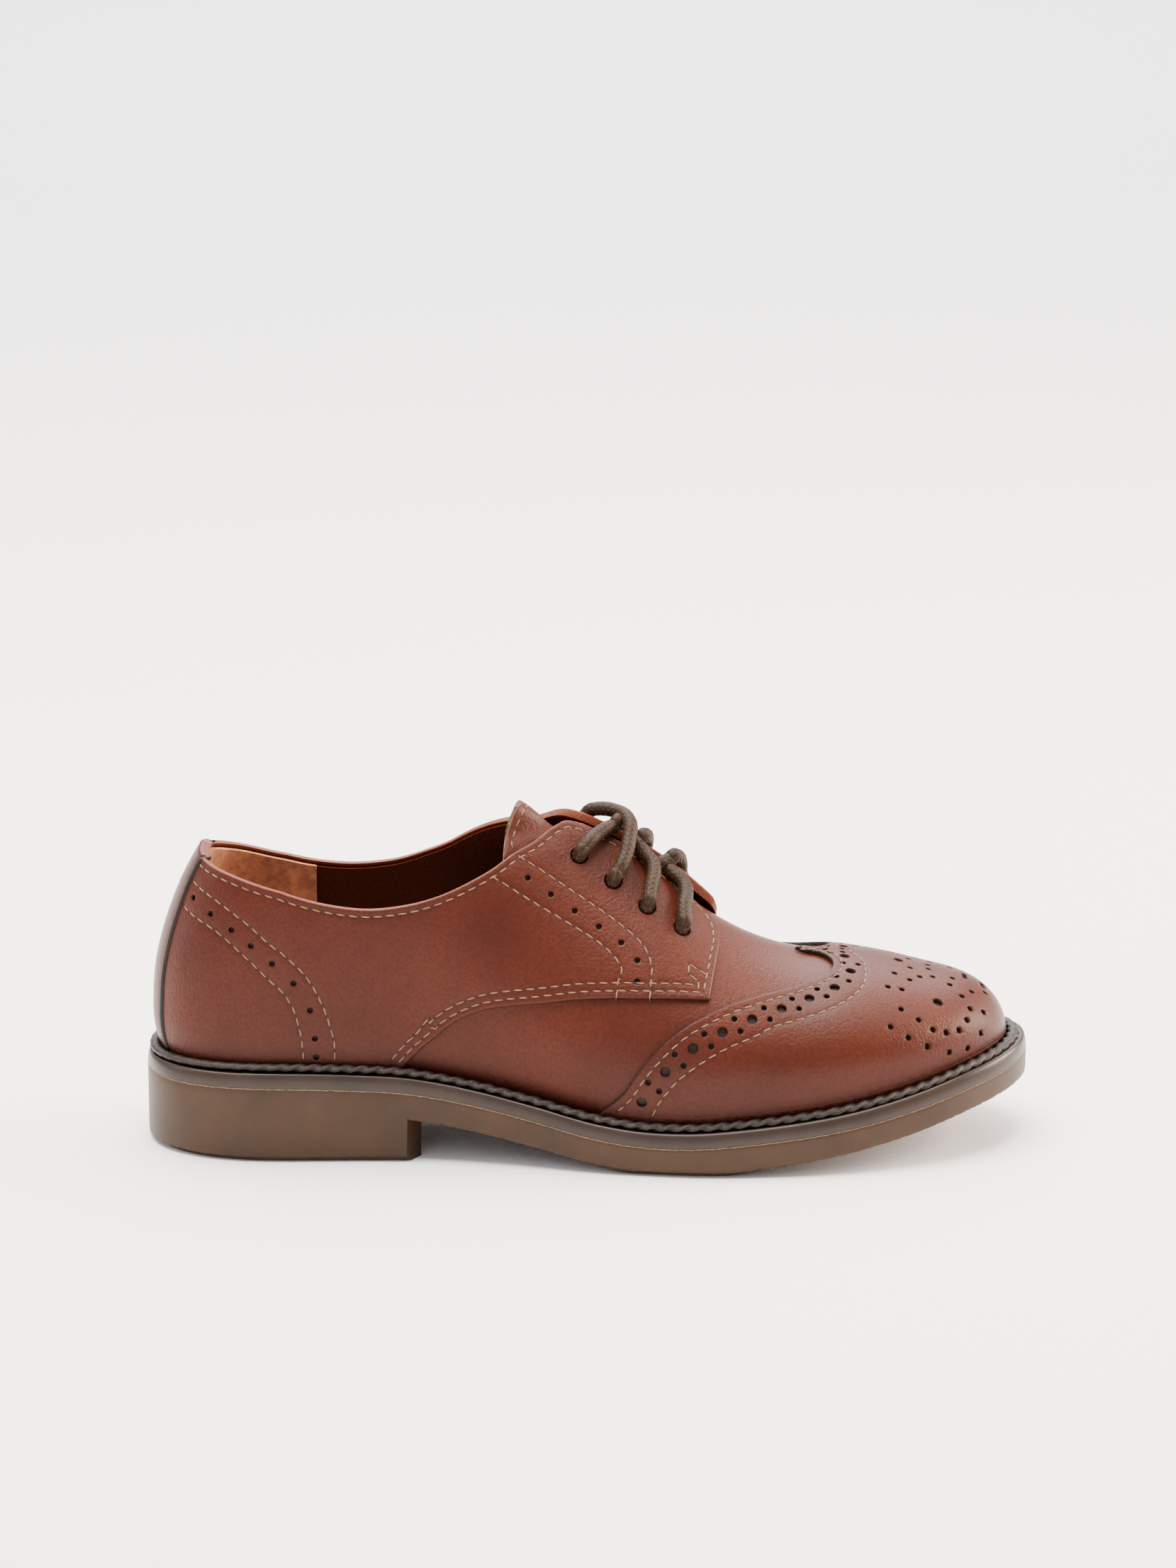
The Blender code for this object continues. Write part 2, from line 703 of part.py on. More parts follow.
def hole_outline(centre, diameter, place, sides=12):
    """A hole's outline on the pattern that comes out round on the last."""
    step = 1e-3
    base = on_last(*place(*centre), 0)
    across = (on_last(*place(centre[0] + step, centre[1]), 0) - base) / step
    up = (on_last(*place(centre[0], centre[1] + step), 0) - base) / step
    first = across / np.linalg.norm(across)
    second = up - first * (up @ first)
    second /= np.linalg.norm(second)
    turn = np.arange(sides) / sides * math.tau
    on_plane = diameter / 2 * np.stack([np.cos(turn), np.sin(turn)])
    frame = np.array([[across @ first, up @ first], [0, up @ second]])
    return np.asarray(centre) + np.linalg.solve(frame, on_plane).T


def leather_sheet(name, outline, holes, place, pitch, material, lift=None):
    """Cut a pattern with facets of about one pitch, lay it on the last and give it its wall.

    place turns the pattern's two coordinates into length, climb and side, and lift tells how far
    the sheet stands off its usual layer there.
    """
    scale = np.array([SOLE_LENGTH, INSTEP_HEIGHT])
    low = outline.min(0) * scale
    high = outline.max(0) * scale
    rows = np.arange(low[1] + pitch / 2, high[1], pitch * 0.87)
    field = [[x + pitch / 2 * (i % 2), y] for i, y in enumerate(rows)
             for x in np.arange(low[0], high[0], pitch)]
    field = np.array(field)
    keep = inside(field, outline * scale)
    for loop in [outline] + holes:
        keep &= edge_distance(field, loop * scale) > pitch * 0.55
    for hole in holes:
        keep &= ~inside(field, hole * scale)
    loops = [loop * scale for loop in [outline] + holes]
    flat = np.concatenate(loops + [field[keep]])
    edges = []
    start = 0
    for loop in loops:
        edges += [(start + i, start + (i + 1) % len(loop)) for i in range(len(loop))]
        start += len(loop)
    result = delaunay_2d_cdt([Vector(p) for p in flat], edges, [], 0, 1e-9)
    flat = np.array([tuple(p) for p in result[0]])
    triangles = np.array(result[2])
    middle = flat[triangles].mean(1)
    keep = inside(middle, loops[0])
    for hole in loops[1:]:
        keep &= ~inside(middle, hole)
    triangles = triangles[keep]

    spots = place(*(flat / scale).T)
    offset = LAYER_GAP + (lift(*spots) if lift else 0)
    outer = on_last(*spots, offset + OVERLAY_WALL)
    inner = on_last(*spots, offset)
    shift = len(flat)
    faces = [tuple(t) for t in triangles.tolist()]
    faces += [(c + shift, b + shift, a + shift) for a, b, c in triangles.tolist()]
    used = set()
    for a, b, c in triangles.tolist():
        used.update([(a, b), (b, c), (c, a)])
    for a, b in used:
        if (b, a) not in used:
            faces.append((b, a, a + shift, b + shift))
    return new_object(name, np.concatenate([outer, inner]), faces, material)


def over_toe(length, girth):
    """Pattern coordinates of the toe cap: girth is 0 on the ridge and -1 at the lateral foot."""
    return length, 1 - np.abs(girth), np.where(girth < 0, LATERAL, MEDIAL)


def round_heel(length, climb):
    """Pattern coordinates of the heel strip: a negative length is on the lateral side."""
    return np.abs(length), climb, np.where(length < 0, LATERAL, MEDIAL)


def on_side(side):
    """Pattern coordinates of a piece that stays on one side."""
    return lambda length, climb: (length, climb, side + 0 * np.asarray(length))


def make_toe_cap(material):
    """The wingtip: a W-shaped back edge whose wings run back to the feather edge."""
    wing = curve(WING, 26)
    lateral = np.stack([wing[:, 0], wing[:, 1] - 1], 1)
    medial = np.stack([wing[::-1, 0], 1 - wing[::-1, 1]], 1)[1:]
    foot = 1 - OVERLAY_FOOT
    start = WING[0, 0]
    back_down = straight((start, foot), (TIP, foot), 26)[1:]
    nose = straight((TIP, foot), (TIP, -foot), 9)
    home = straight((TIP, -foot), (start, -foot), 26)
    outline = np.concatenate([lateral, medial, back_down, nose, home])
    return leather_sheet("toe_cap", outline, [], over_toe, CAP_FACET, material)


def quarter_outline(side):
    collar_column = 1 if side == LATERAL else 2
    length = np.concatenate([
        np.linspace(QUARTER_BACK, 0.35, 16, endpoint=False),
        np.linspace(0.35, 0.49, 16, endpoint=False),
    ])
    collar = np.stack([length, smooth(COLLAR, collar_column, length)], 1)
    facing = curve(FACING, 22)
    lower = curve(QUARTER_LOWER, 20)[1:]
    foot = straight(QUARTER_LOWER[-1], (QUARTER_BACK, OVERLAY_FOOT), 16)[1:]
    back = straight((QUARTER_BACK, OVERLAY_FOOT), collar[0], 12)
    return np.concatenate([collar, facing, lower, foot, back])


def make_quarter(name, side, material):
    place = on_side(side)
    holes = [hole_outline(spot, EYELET_DIAMETER, place) for spot in EYELETS]
    outline = quarter_outline(side)
    return leather_sheet(name, outline, holes, place, QUARTER_FACET, material, facing_lift)


def make_heel_strip(material):
    top = COLLAR[0, 1]
    foot = OVERLAY_FOOT
    side = STRIP_HALF
    outline = np.concatenate([
        straight((-side, foot), (side, foot), 6),
        straight((side, foot), (side, smooth(COLLAR, 2, side)), 12),
        straight((side, smooth(COLLAR, 2, side)), (0, top), 3),
        straight((0, top), (-side, smooth(COLLAR, 1, side)), 3),
        straight((-side, smooth(COLLAR, 1, side)), (-side, foot), 12),
    ])
    return leather_sheet("heel_strip", outline, [], round_heel, STRIP_FACET, material)


def tube(name, path, up, diameter, sides, material):
    """A round bar along a path, with flat ends. The vectors of up stand off the path."""
    flow = np.gradient(path, axis=0)
    across = np.cross(flow, up)
    across /= np.linalg.norm(across, axis=1, keepdims=True)
    second = np.cross(flow, across)
    second /= np.linalg.norm(second, axis=1, keepdims=True)
    turn = np.arange(sides) / sides * math.tau
    points = (path[:, None] + diameter / 2 * np.cos(turn)[:, None] * across[:, None]
              + diameter / 2 * np.sin(turn)[:, None] * second[:, None])
    return new_object(name, points.reshape(-1, 3), ring_faces(len(path), sides), material)


def make_piping(name, side, material):
    """Cord between heel strip and quarter, a little short of foot and collar."""
    ends = (OVERLAY_FOOT + 0.01, smooth(COLLAR, 1, PIPING_LINE) - SHELL_DROP / 2)
    climb = np.linspace(*ends, 14)
    length = PIPING_LINE + 0 * climb
    path = on_last(length, climb, side, LAYER_GAP + PIPING_DIAMETER / 2)
    up = last_normals(length, climb, side + 0 * climb)
    return tube(name, path, up, PIPING_DIAMETER, 6, material)


def lace_path(start, end, side):
    """A crossing from one eyelet over the tongue to the next eyelet of the other side."""
    girth = np.linspace(start[1] - 1, 1 - end[1], 12)
    length = np.linspace(start[0], end[0], 12)
    sign = side * np.where(girth < 0, 1, -1)
    climb = 1 - np.abs(girth)
    lift = LAYER_GAP + OVERLAY_WALL + LACE_GAP + LACE_DIAMETER / 2
    return on_last(length, climb, sign, lift + facing_lift(length, climb, sign))


def make_laces(material):
    """Six crossings, joined into one solid."""
    bars = []
    for i in range(len(EYELETS) - 1):
        for side in (LATERAL, MEDIAL):
            path = lace_path(EYELETS[i], EYELETS[i + 1], side)
            bars.append(tube("lace_bar", path, [0, 0, 1.0], LACE_DIAMETER, 6, material))
    laces = bars[0]
    laces.name = "laces"
    for bar in bars[1:]:
        union = laces.modifiers.new("union", "BOOLEAN")
        union.operation = "UNION"
        union.object = bar
        finished = laces.evaluated_get(bpy.context.evaluated_depsgraph_get())
        shape = bpy.data.meshes.new_from_object(finished)
        laces.modifiers.clear()
        laces.data = shape
        bpy.data.objects.remove(bar)
    return laces


def main():
    for obj in list(bpy.data.objects):
        bpy.data.objects.remove(obj)
    leather = new_material("tan_grain_leather", "#8a4b32", 0.42)
    lining = new_material("brown_lining", "#5a3626", 0.85)
    gum = new_material("gum_rubber", "#80603f", 0.5)
    taupe = new_material("taupe_rubber", "#6a584e", 0.5)
    dark = new_material("dark_welt_leather", "#3a261f", 0.6)
    cord = new_material("waxed_cotton_lace", "#6b584b", 0.7)

    make_outsole(gum)
    make_midsole(taupe)
    make_storm_welt(dark)
    make_insole(lining)
    make_upper(leather)
    make_tongue(leather)
    make_toe_cap(leather)
    make_quarter("quarter_lateral", LATERAL, leather)
    make_quarter("quarter_medial", MEDIAL, leather)
    make_heel_strip(leather)
    make_piping("piping_lateral", LATERAL, dark)
    make_piping("piping_medial", MEDIAL, dark)
    make_laces(cord)


main()
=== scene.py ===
"""Dresses the brogue shoe: punched and stitched leather, linings, welt, gum sole, laces and studio.

X runs from heel to toe, Z is up and -Y is the outer side. Leather pieces are flat patterns, whose
two coordinates are the length along the shoe and the climb from the welt to the ridge, laid on the
same last as the CAD.
"""
import math

import bmesh
import bpy
import numpy as np
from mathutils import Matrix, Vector
from mathutils.geometry import delaunay_2d_cdt


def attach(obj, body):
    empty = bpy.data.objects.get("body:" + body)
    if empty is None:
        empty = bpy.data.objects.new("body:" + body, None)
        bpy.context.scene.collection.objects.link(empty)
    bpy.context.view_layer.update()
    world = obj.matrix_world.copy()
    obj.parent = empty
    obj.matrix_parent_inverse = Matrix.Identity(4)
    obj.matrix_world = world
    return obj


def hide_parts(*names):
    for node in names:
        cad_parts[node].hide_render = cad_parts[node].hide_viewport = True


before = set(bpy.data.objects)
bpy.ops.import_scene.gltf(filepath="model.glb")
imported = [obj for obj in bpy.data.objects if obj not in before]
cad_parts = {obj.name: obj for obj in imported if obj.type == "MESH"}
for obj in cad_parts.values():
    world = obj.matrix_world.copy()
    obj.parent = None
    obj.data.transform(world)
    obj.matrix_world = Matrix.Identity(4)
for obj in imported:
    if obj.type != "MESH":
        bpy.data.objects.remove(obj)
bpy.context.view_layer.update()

MM = 0.001
LATERAL = -1
MEDIAL = 1

# Sizes of the sole and the last, as in the part's source
SOLE_LENGTH = 240 * MM
BALL_WIDTH = 84.4 * MM
HEEL_WIDTH = 59 * MM
TOE_SWING = 5 * MM
HEEL_CENTRE = 38 * MM
HEEL_BREAST = 71.4 * MM
FOREPART_THICKNESS = 11.9 * MM
HEEL_LIFT = 12.3 * MM
TOE_SPRING = 15.1 * MM
MIDSOLE_THICKNESS = 4.1 * MM
GUM_THICKNESS = 7.2 * MM
TREAD_HEIGHT = 1.3 * MM
TREAD_INSET = 2.2 * MM
BREAST_SLANT = 2.5 * MM
INSTEP_HEIGHT = 71 * MM
COUNTER_HEIGHT = 57 * MM
WELT_LEDGE = 6.6 * MM
TOE_LEDGE = 6.9 * MM
BOX_START = 188 * MM
FEATHER_LIFT = 0.8 * MM
UPPER_WALL = 1.6 * MM
CLEARANCE = 0.3 * MM
BELLY_CLIMB = 0.16
FEATHER_CLIMB = 0.03
OVERLAY_FOOT = 0.012
ROPE_CLIMB = 0.014
TIP = 0.995
TOE_MAP = 0.80
HEEL_SQUARENESS = 2.3
BOX_SQUARENESS = 2.15
TOE_CURVE = {LATERAL: (0.70, 2.0), MEDIAL: (0.72, 2.1)}

# Layers of the upper, as heights above the last
BACKING_LOW = 0.03 * MM
BACKING_HIGH = 0.16 * MM
OVERLAY_LOW = 0.20 * MM
OVERLAY_HIGH = 1.45 * MM
EDGE_RADIUS = 0.5 * MM

# Under the leather: the vamp's own thickness, the lining, the heel grip and where they meet
VAMP_THICKNESS = 1.2 * MM
LINING_TOP = -0.72 * MM
LINING_UNDER = -1.5 * MM
GRIP_UNDER = -2.1 * MM
GRIP_FRONT = 0.190
LINING_REAR = 0.186
LINING_FOOT = 0.03

# Metres along the last for a whole climb, which keep the patterns' triangles even
TOE_GIRTH = 66 * MM
SIDE_GIRTH = 88 * MM
THROAT_GIRTH = 85 * MM
HEEL_GIRTH = 62 * MM
VAMP_GIRTH = 75 * MM

# Stitching and punching
STITCH_PITCH = 3.3 * MM
STITCH_LENGTH = 2.55 * MM
THREAD_RADIUS = 0.18 * MM
SEAM_DEPTH = 0.16 * MM
SEAM_WIDTH = 0.55 * MM
LARGE_PUNCH = 2.6 * MM
SMALL_PUNCH = 1.5 * MM
EYELET_DIAMETER = 4.6 * MM
LACE_DIAMETER = 4.0 * MM
LACE_PITCH = 0.34 * MM
PIPING_RADIUS = 0.85 * MM
ROPE_LAY = 8.6 * MM
ROPE_HALF_WIDTH = 1.42 * MM
ROPE_HALF_HEIGHT = 0.98 * MM
TONGUE_DEPTH = 2.0 * MM
TONGUE_THICKNESS = 1.3 * MM
TONGUE_FLARE = 4.2 * MM
FACING_LIFT = {LATERAL: 1.2 * MM, MEDIAL: 3.2 * MM}

OUTLINE = np.array([
    # length, lateral, medial
    (0.000, 0.500, 0.500),
    (0.158, 0.500, 0.500),
    (0.296, 0.495, 0.458),
    (0.354, 0.508, 0.422),
    (0.417, 0.515, 0.401),
    (0.500, 0.528, 0.411),
    (0.583, 0.532, 0.429),
    (0.646, 0.539, 0.450),
    (0.717, 0.5415, 0.4585),
    (1.000, 0.5415, 0.4585),
])

RIM = np.array([
    # length, share of HEEL_LIFT, share of TOE_SPRING
    (0.000, 1.030, 0.000),
    (0.220, 1.000, 0.000),
    (0.292, 0.927, 0.000),
    (0.355, 0.760, 0.000),
    (0.443, 0.420, 0.000),
    (0.510, 0.135, 0.000),
    (0.560, 0.020, 0.000),
    (0.610, 0.000, 0.008),
    (0.660, 0.000, 0.060),
    (0.730, 0.000, 0.178),
    (0.800, 0.000, 0.330),
    (0.870, 0.000, 0.550),
    (0.930, 0.000, 0.775),
    (1.000, 0.000, 1.000),
])

GUM = np.array([
    # length, share of GUM_THICKNESS
    (0.296, 1.02),
    (0.460, 1.00),
    (0.560, 0.96),
    (0.670, 1.02),
    (0.760, 0.96),
    (0.860, 0.91),
    (0.930, 0.88),
    (1.000, 0.87),
])

SECTIONS = np.array([
    # length, rise of INSTEP_HEIGHT, belly of rise, swell of width, wall handle, crown handle
    (0.158, 1.100, 0.13, 0.030, 0.50, 0.80),
    (0.242, 1.070, 0.14, 0.035, 0.50, 0.82),
    (0.296, 1.050, 0.15, 0.040, 0.50, 0.80),
    (0.358, 1.035, 0.16, 0.045, 0.48, 0.68),
    (0.417, 1.017, 0.17, 0.050, 0.44, 0.46),
    (0.458, 1.000, 0.18, 0.055, 0.41, 0.32),
    (0.500, 0.977, 0.19, 0.055, 0.40, 0.26),
    (0.579, 0.845, 0.22, 0.055, 0.42, 0.34),
    (0.633, 0.687, 0.26, 0.055, 0.46, 0.42),
    (0.683, 0.570, 0.30, 0.050, 0.50, 0.50),
    (0.733, 0.489, 0.32, 0.045, 0.52, 0.54),
    (0.783, 0.449, 0.33, 0.040, 0.54, 0.56),
    (0.833, 0.400, 0.34, 0.040, 0.55, 0.57),
    (0.883, 0.358, 0.35, 0.040, 0.55, 0.57),
    (0.960, 0.345, 0.35, 0.040, 0.55, 0.57),
])

BACK = np.array([
    # height of COUNTER_HEIGHT, distance ahead of the sole's back of HEEL_CENTRE
    (0.00, 0.145),
    (0.07, 0.108),
    (0.16, 0.087),
    (0.26, 0.089),
    (0.39, 0.105),
    (0.53, 0.150),
    (0.70, 0.234),
    (0.82, 0.310),
    (0.93, 0.400),
    (1.00, 0.463),
    (1.16, 0.605),
    (1.40, 0.790),
])

COLLAR = np.array([
    # length, lateral climb, medial climb
    (0.000, 0.567, 0.567),
    (0.050, 0.547, 0.545),
    (0.102, 0.524, 0.516),
    (0.146, 0.495, 0.486),
    (0.187, 0.470, 0.470),
    (0.229, 0.458, 0.470),
    (0.257, 0.458, 0.480),
    (0.285, 0.470, 0.500),
    (0.314, 0.495, 0.540),
    (0.342, 0.534, 0.592),
    (0.369, 0.586, 0.665),
    (0.397, 0.655, 0.745),
    (0.414, 0.710, 0.792),
    (0.441, 0.795, 0.858),
    (0.458, 0.875, 0.908),
    (0.472, 0.938, 0.945),
    (0.490, 0.965, 0.965),
])

FACING = np.array([
    # length, climb
    (0.490, 0.965),
    (0.540, 0.960),
    (0.590, 0.956),
    (0.615, 0.952),
    (0.630, 0.930),
    (0.641, 0.880),
    (0.646, 0.790),
    (0.643, 0.680),
    (0.638, 0.562),
    (0.635, 0.492),
])

QUARTER_LOWER = np.array([
    # length, climb
    (0.635, 0.492),
    (0.583, 0.434),
    (0.533, 0.393),
    (0.490, 0.357),
    (0.447, 0.312),
    (0.385, 0.250),
    (0.345, 0.187),
    (0.315, 0.100),
    (0.293, 0.012),
])

WING = np.array([
    # length, climb
    (0.513, 0.012),
    (0.538, 0.092),
    (0.560, 0.195),
    (0.586, 0.292),
    (0.616, 0.385),
    (0.648, 0.470),
    (0.682, 0.555),
    (0.714, 0.635),
    (0.744, 0.705),
    (0.765, 0.760),
    (0.775, 0.830),
    (0.773, 0.910),
    (0.758, 0.970),
    (0.735, 1.000),
])

TONGUE = np.array([
    # length, climb
    (0.409, 0.705),
    (0.440, 0.715),
    (0.500, 0.740),
    (0.560, 0.760),
    (0.600, 0.790),
    (0.625, 0.830),
])

EYELETS = np.array([
    # length, climb
    (0.603, 0.715),
    (0.565, 0.715),
    (0.527, 0.743),
    (0.489, 0.785),
])

# Seams and punched holes, as length and climb
WING_SEAM = np.array([
    (0.570, 0.015), (0.579, 0.080), (0.595, 0.145), (0.617, 0.215), (0.647, 0.292),
    (0.682, 0.365), (0.713, 0.445), (0.742, 0.492), (0.772, 0.542), (0.797, 0.625),
    (0.807, 0.720), (0.809, 0.820), (0.807, 0.912), (0.799, 0.985), (0.797, 1.000),
])
WING_PUNCHES = np.array([
    (0.561, 0.083), (0.587, 0.195), (0.617, 0.292), (0.649, 0.372), (0.682, 0.450),
    (0.715, 0.530), (0.747, 0.605), (0.776, 0.672), (0.795, 0.800), (0.790, 0.932),
])
WING_PEAK_PUNCH = (0.767, 1.000)
MEDALLION_LARGE = [(0.872, 0.600)]
MEDALLION_CENTRE = (0.839, 1.000)
MEDALLION_SMALL = [
    (0.849, 0.930), (0.867, 0.965), (0.834, 0.833), (0.857, 0.843), (0.870, 0.868),
    (0.847, 0.792), (0.827, 0.703), (0.839, 0.693), (0.887, 0.797), (0.891, 0.893),
    (0.912, 0.763), (0.899, 0.677), (0.932, 0.850), (0.837, 0.535), (0.907, 0.540),
    (0.926, 0.515), (0.852, 0.453), (0.902, 0.415), (0.827, 0.410), (0.865, 0.365),
    (0.878, 0.323), (0.892, 0.323), (0.920, 0.250), (0.842, 0.325), (0.859, 0.238),
    (0.881, 0.147), (0.902, 0.133), (0.906, 0.965), (0.930, 0.960),
]
BAND_REAR = np.array([
    (0.390, 0.620), (0.439, 0.580), (0.485, 0.550), (0.520, 0.522), (0.537, 0.485),
    (0.534, 0.440), (0.532, 0.388),
])
BAND_FRONT = np.array([
    (0.419, 0.712), (0.458, 0.675), (0.496, 0.640), (0.531, 0.613), (0.557, 0.584),
    (0.570, 0.530), (0.570, 0.475), (0.569, 0.415),
])
BAND_PUNCHES = [
    (0.432, 0.647), (0.458, 0.620), (0.485, 0.595), (0.512, 0.575), (0.537, 0.555),
    (0.555, 0.522), (0.555, 0.460),
]
COUNTER_FRONT = np.array([
    (0.053, 0.488), (0.090, 0.460), (0.124, 0.413), (0.152, 0.352), (0.184, 0.290),
    (0.203, 0.223), (0.214, 0.152), (0.217, 0.028),
])
COUNTER_REAR = np.array([
    (0.053, 0.425), (0.097, 0.388), (0.128, 0.330), (0.148, 0.278), (0.169, 0.220),
    (0.178, 0.160), (0.181, 0.090), (0.182, 0.028),
])
COUNTER_PUNCHES = [
    (0.065, 0.450), (0.092, 0.422), (0.115, 0.390), (0.133, 0.355), (0.151, 0.315),
    (0.172, 0.270), (0.190, 0.208), (0.195, 0.128), (0.196, 0.045),
]
TACK_BOX = np.array([
    (0.633, 0.585), (0.611, 0.592), (0.611, 0.552), (0.622, 0.545), (0.622, 0.512),
])

# Where the facings stand off the last, and where the tongue's free end does
LIFT_REAR = 0.425
LIFT_FRONT = 0.570
LIFT_RUN = 0.040
LIFT_CLIMB = 0.80
FLARE_FRONT = 0.475
FLARE_RUN = 0.060
FLARE_MARGIN = 0.005
FLARE_CLIMB = 0.13

STRIP_EDGE = 0.0450
PIPING_LINE = 0.0472
QUARTER_BACK = 0.0490


def smooth(table, column, x):
    """Read a table's column at x, along cubic pieces that share their slopes."""
    xs = table[:, 0]
    ys = table[:, column]
    slopes = np.gradient(ys, xs)
    i = np.clip(np.searchsorted(xs, x) - 1, 0, len(xs) - 2)
    step = xs[i + 1] - xs[i]
    t = np.clip((x - xs[i]) / step, 0, 1)
    rest = 1 - t
    return (ys[i] * (1 + 2 * t) * rest**2 + ys[i + 1] * (3 - 2 * t) * t**2
            + step * (slopes[i] * t * rest**2 - slopes[i + 1] * rest * t**2))


def ease(t):
    """A soft step from 0 to 1: 3t^2 - 2t^3."""
    t = np.clip(t, 0, 1)
    return t * t * (3 - 2 * t)


def closing(t, squareness):
    """A superellipse's height: 1 at t = 0 and 0 at t = 1."""
    return (1 - np.clip(t, 0, 1) ** squareness) ** (1 / squareness)


def swing(x):
    """The curve of the foot's long axis towards the inner side."""
    return TOE_SWING * ease((x / SOLE_LENGTH - 0.4) / 0.6)


def rim_height(x):
    """Height of the sole's upper edge: a heel lift, a flat ball and a toe spring."""
    share = x / SOLE_LENGTH
    return (FOREPART_THICKNESS + HEEL_LIFT * smooth(RIM, 1, share)
            + TOE_SPRING * smooth(RIM, 2, share))


def open_half_width(x, side):
    share = x / SOLE_LENGTH
    width = HEEL_WIDTH + (BALL_WIDTH - HEEL_WIDTH) * ease((share - 0.3) / 0.35)
    return width * smooth(OUTLINE, 1 if side == LATERAL else 2, share)


def sole_half_width(x, side):
    """The open width times a superellipse at the toe and another at the heel."""
    start, squareness = TOE_CURVE[side]
    start *= SOLE_LENGTH
    toe = closing((x - start) / (SOLE_LENGTH - start), squareness)
    heel = closing((HEEL_CENTRE - x) / HEEL_CENTRE, HEEL_SQUARENESS)
    return open_half_width(x, side) * toe * heel


def side_foot(x):
    """Height of the side's lower edge ahead of the heel: low at the ball, then the toe spring."""
    gum = GUM_THICKNESS * smooth(GUM, 1, x / SOLE_LENGTH)
    return np.maximum(rim_height(x) - MIDSOLE_THICKNESS - gum, TREAD_HEIGHT)


def tread_height(x):
    """The tread stands under the side's foot at the ball, and fades into it off the floor."""
    foot = side_foot(x)
    return foot - TREAD_HEIGHT * ease(1.5 - foot / (2 * TREAD_HEIGHT))


def last_section(x, climb, sign):
    """Half width and height of the last: a quarter sine up the belly, then a cubic Bezier."""
    lateral = sign < 0
    tip = SOLE_LENGTH - TOE_LEDGE
    start = np.where(lateral, TOE_CURVE[LATERAL][0], TOE_CURVE[MEDIAL][0]) * SOLE_LENGTH
    squareness = np.where(lateral, TOE_CURVE[LATERAL][1], TOE_CURVE[MEDIAL][1])
    plan = closing((x - start) / (tip - start), squareness)
    profile = closing((x - BOX_START) / (tip - BOX_START), BOX_SQUARENESS)
    open_half = np.where(lateral, open_half_width(x, LATERAL), open_half_width(x, MEDIAL))
    share = x / SOLE_LENGTH
    feather = (open_half - WELT_LEDGE) * plan
    widest = feather * (1 + smooth(SECTIONS, 3, share))
    rise = INSTEP_HEIGHT * smooth(SECTIONS, 1, share) * profile
    belly = rise * smooth(SECTIONS, 2, share)
    wall = smooth(SECTIONS, 4, share)
    crown = smooth(SECTIONS, 5, share)

    low = np.clip(climb / BELLY_CLIMB, 0, 1)
    t = np.clip((climb - BELLY_CLIMB) / (1 - BELLY_CLIMB), 0, 1)
    rest = 1 - t
    y_low = feather + (widest - feather) * np.sin(low * math.pi / 2)
    y_high = widest * (rest**3 + 3 * t * rest**2 + crown * 3 * t * t * rest)
    z_high = belly + (rise - belly) * (wall * 3 * t * rest**2 + 3 * t * t * rest + t**3)
    below = climb < BELLY_CLIMB
    return np.where(below, y_low, y_high), np.where(below, belly * low, z_high)


def last_points(length, climb, sign):
    """Points of the last: length runs from 0 at the heel's back to 1 at the toe's tip."""
    length, climb, sign = np.broadcast_arrays(
        np.asarray(length, float), np.asarray(climb, float), np.asarray(sign, float))
    tip = SOLE_LENGTH - TOE_LEDGE
    heel_share = HEEL_CENTRE / SOLE_LENGTH
    toe_start = TOE_MAP * SOLE_LENGTH
    nose = np.clip((length - TOE_MAP) / (1 - TOE_MAP), 0, 1) * math.pi / 2
    body = np.maximum(length * SOLE_LENGTH, HEEL_CENTRE)
    x = np.where(length > TOE_MAP, toe_start + (tip - toe_start) * np.sin(nose), body)
    y, height = last_section(x, climb, sign)

    turn = np.clip(1 - length / heel_share, 0, 1) * math.pi / 2
    back = HEEL_CENTRE * smooth(BACK, 1, height / COUNTER_HEIGHT)
    in_heel = length < heel_share
    square = HEEL_SQUARENESS
    spread = (np.sin(turn) ** square + np.cos(turn) ** square) ** (-1 / square)
    x = np.where(in_heel, HEEL_CENTRE - (HEEL_CENTRE - back) * np.sin(turn) * spread, x)
    y = np.where(in_heel, y * np.cos(turn) * spread, y)
    foot = rim_height(x) + FEATHER_LIFT * ease(climb / FEATHER_CLIMB)
    return np.stack([x, sign * y + swing(x), height + foot], -1)


def last_normals(length, climb, sign):
    """Unit normals from the cross product of central differences."""
    step = 1e-3
    climb = np.clip(climb, 0, 1)
    along = (last_points(np.clip(length + step, 0, 1), climb, sign)
             - last_points(np.clip(length - step, 0, 1), climb, sign))
    up = (last_points(length, np.clip(climb + step, 0, 1), sign)
          - last_points(length, np.clip(climb - step, 0, 1), sign))
    normals = np.cross(along, up) * -np.asarray(sign, float)[..., None]
    return normals / np.linalg.norm(normals, axis=-1, keepdims=True)


def box_centre():
    """The middle of the sole's box, which is the frame's origin."""
    x = np.linspace(0, SOLE_LENGTH, 2001)
    low = (swing(x) - sole_half_width(x, LATERAL)).min()
    high = (swing(x) + sole_half_width(x, MEDIAL)).max()
    return np.array([SOLE_LENGTH / 2, (low + high) / 2, 0])


ORIGIN = box_centre()


def on_last(length, climb, sign, height):
    """Points in the frame that stand off the last by height, and clear of the sole."""
    length, climb, sign, height = np.broadcast_arrays(
        np.asarray(length, float), np.asarray(climb, float),
        np.asarray(sign, float), np.asarray(height, float))
    normals = last_normals(length, climb, sign)
    points = last_points(length, climb, sign) + normals * height[..., None]
    points[..., 2] = np.maximum(points[..., 2], rim_height(points[..., 0]) + CLEARANCE)
    return points - ORIGIN


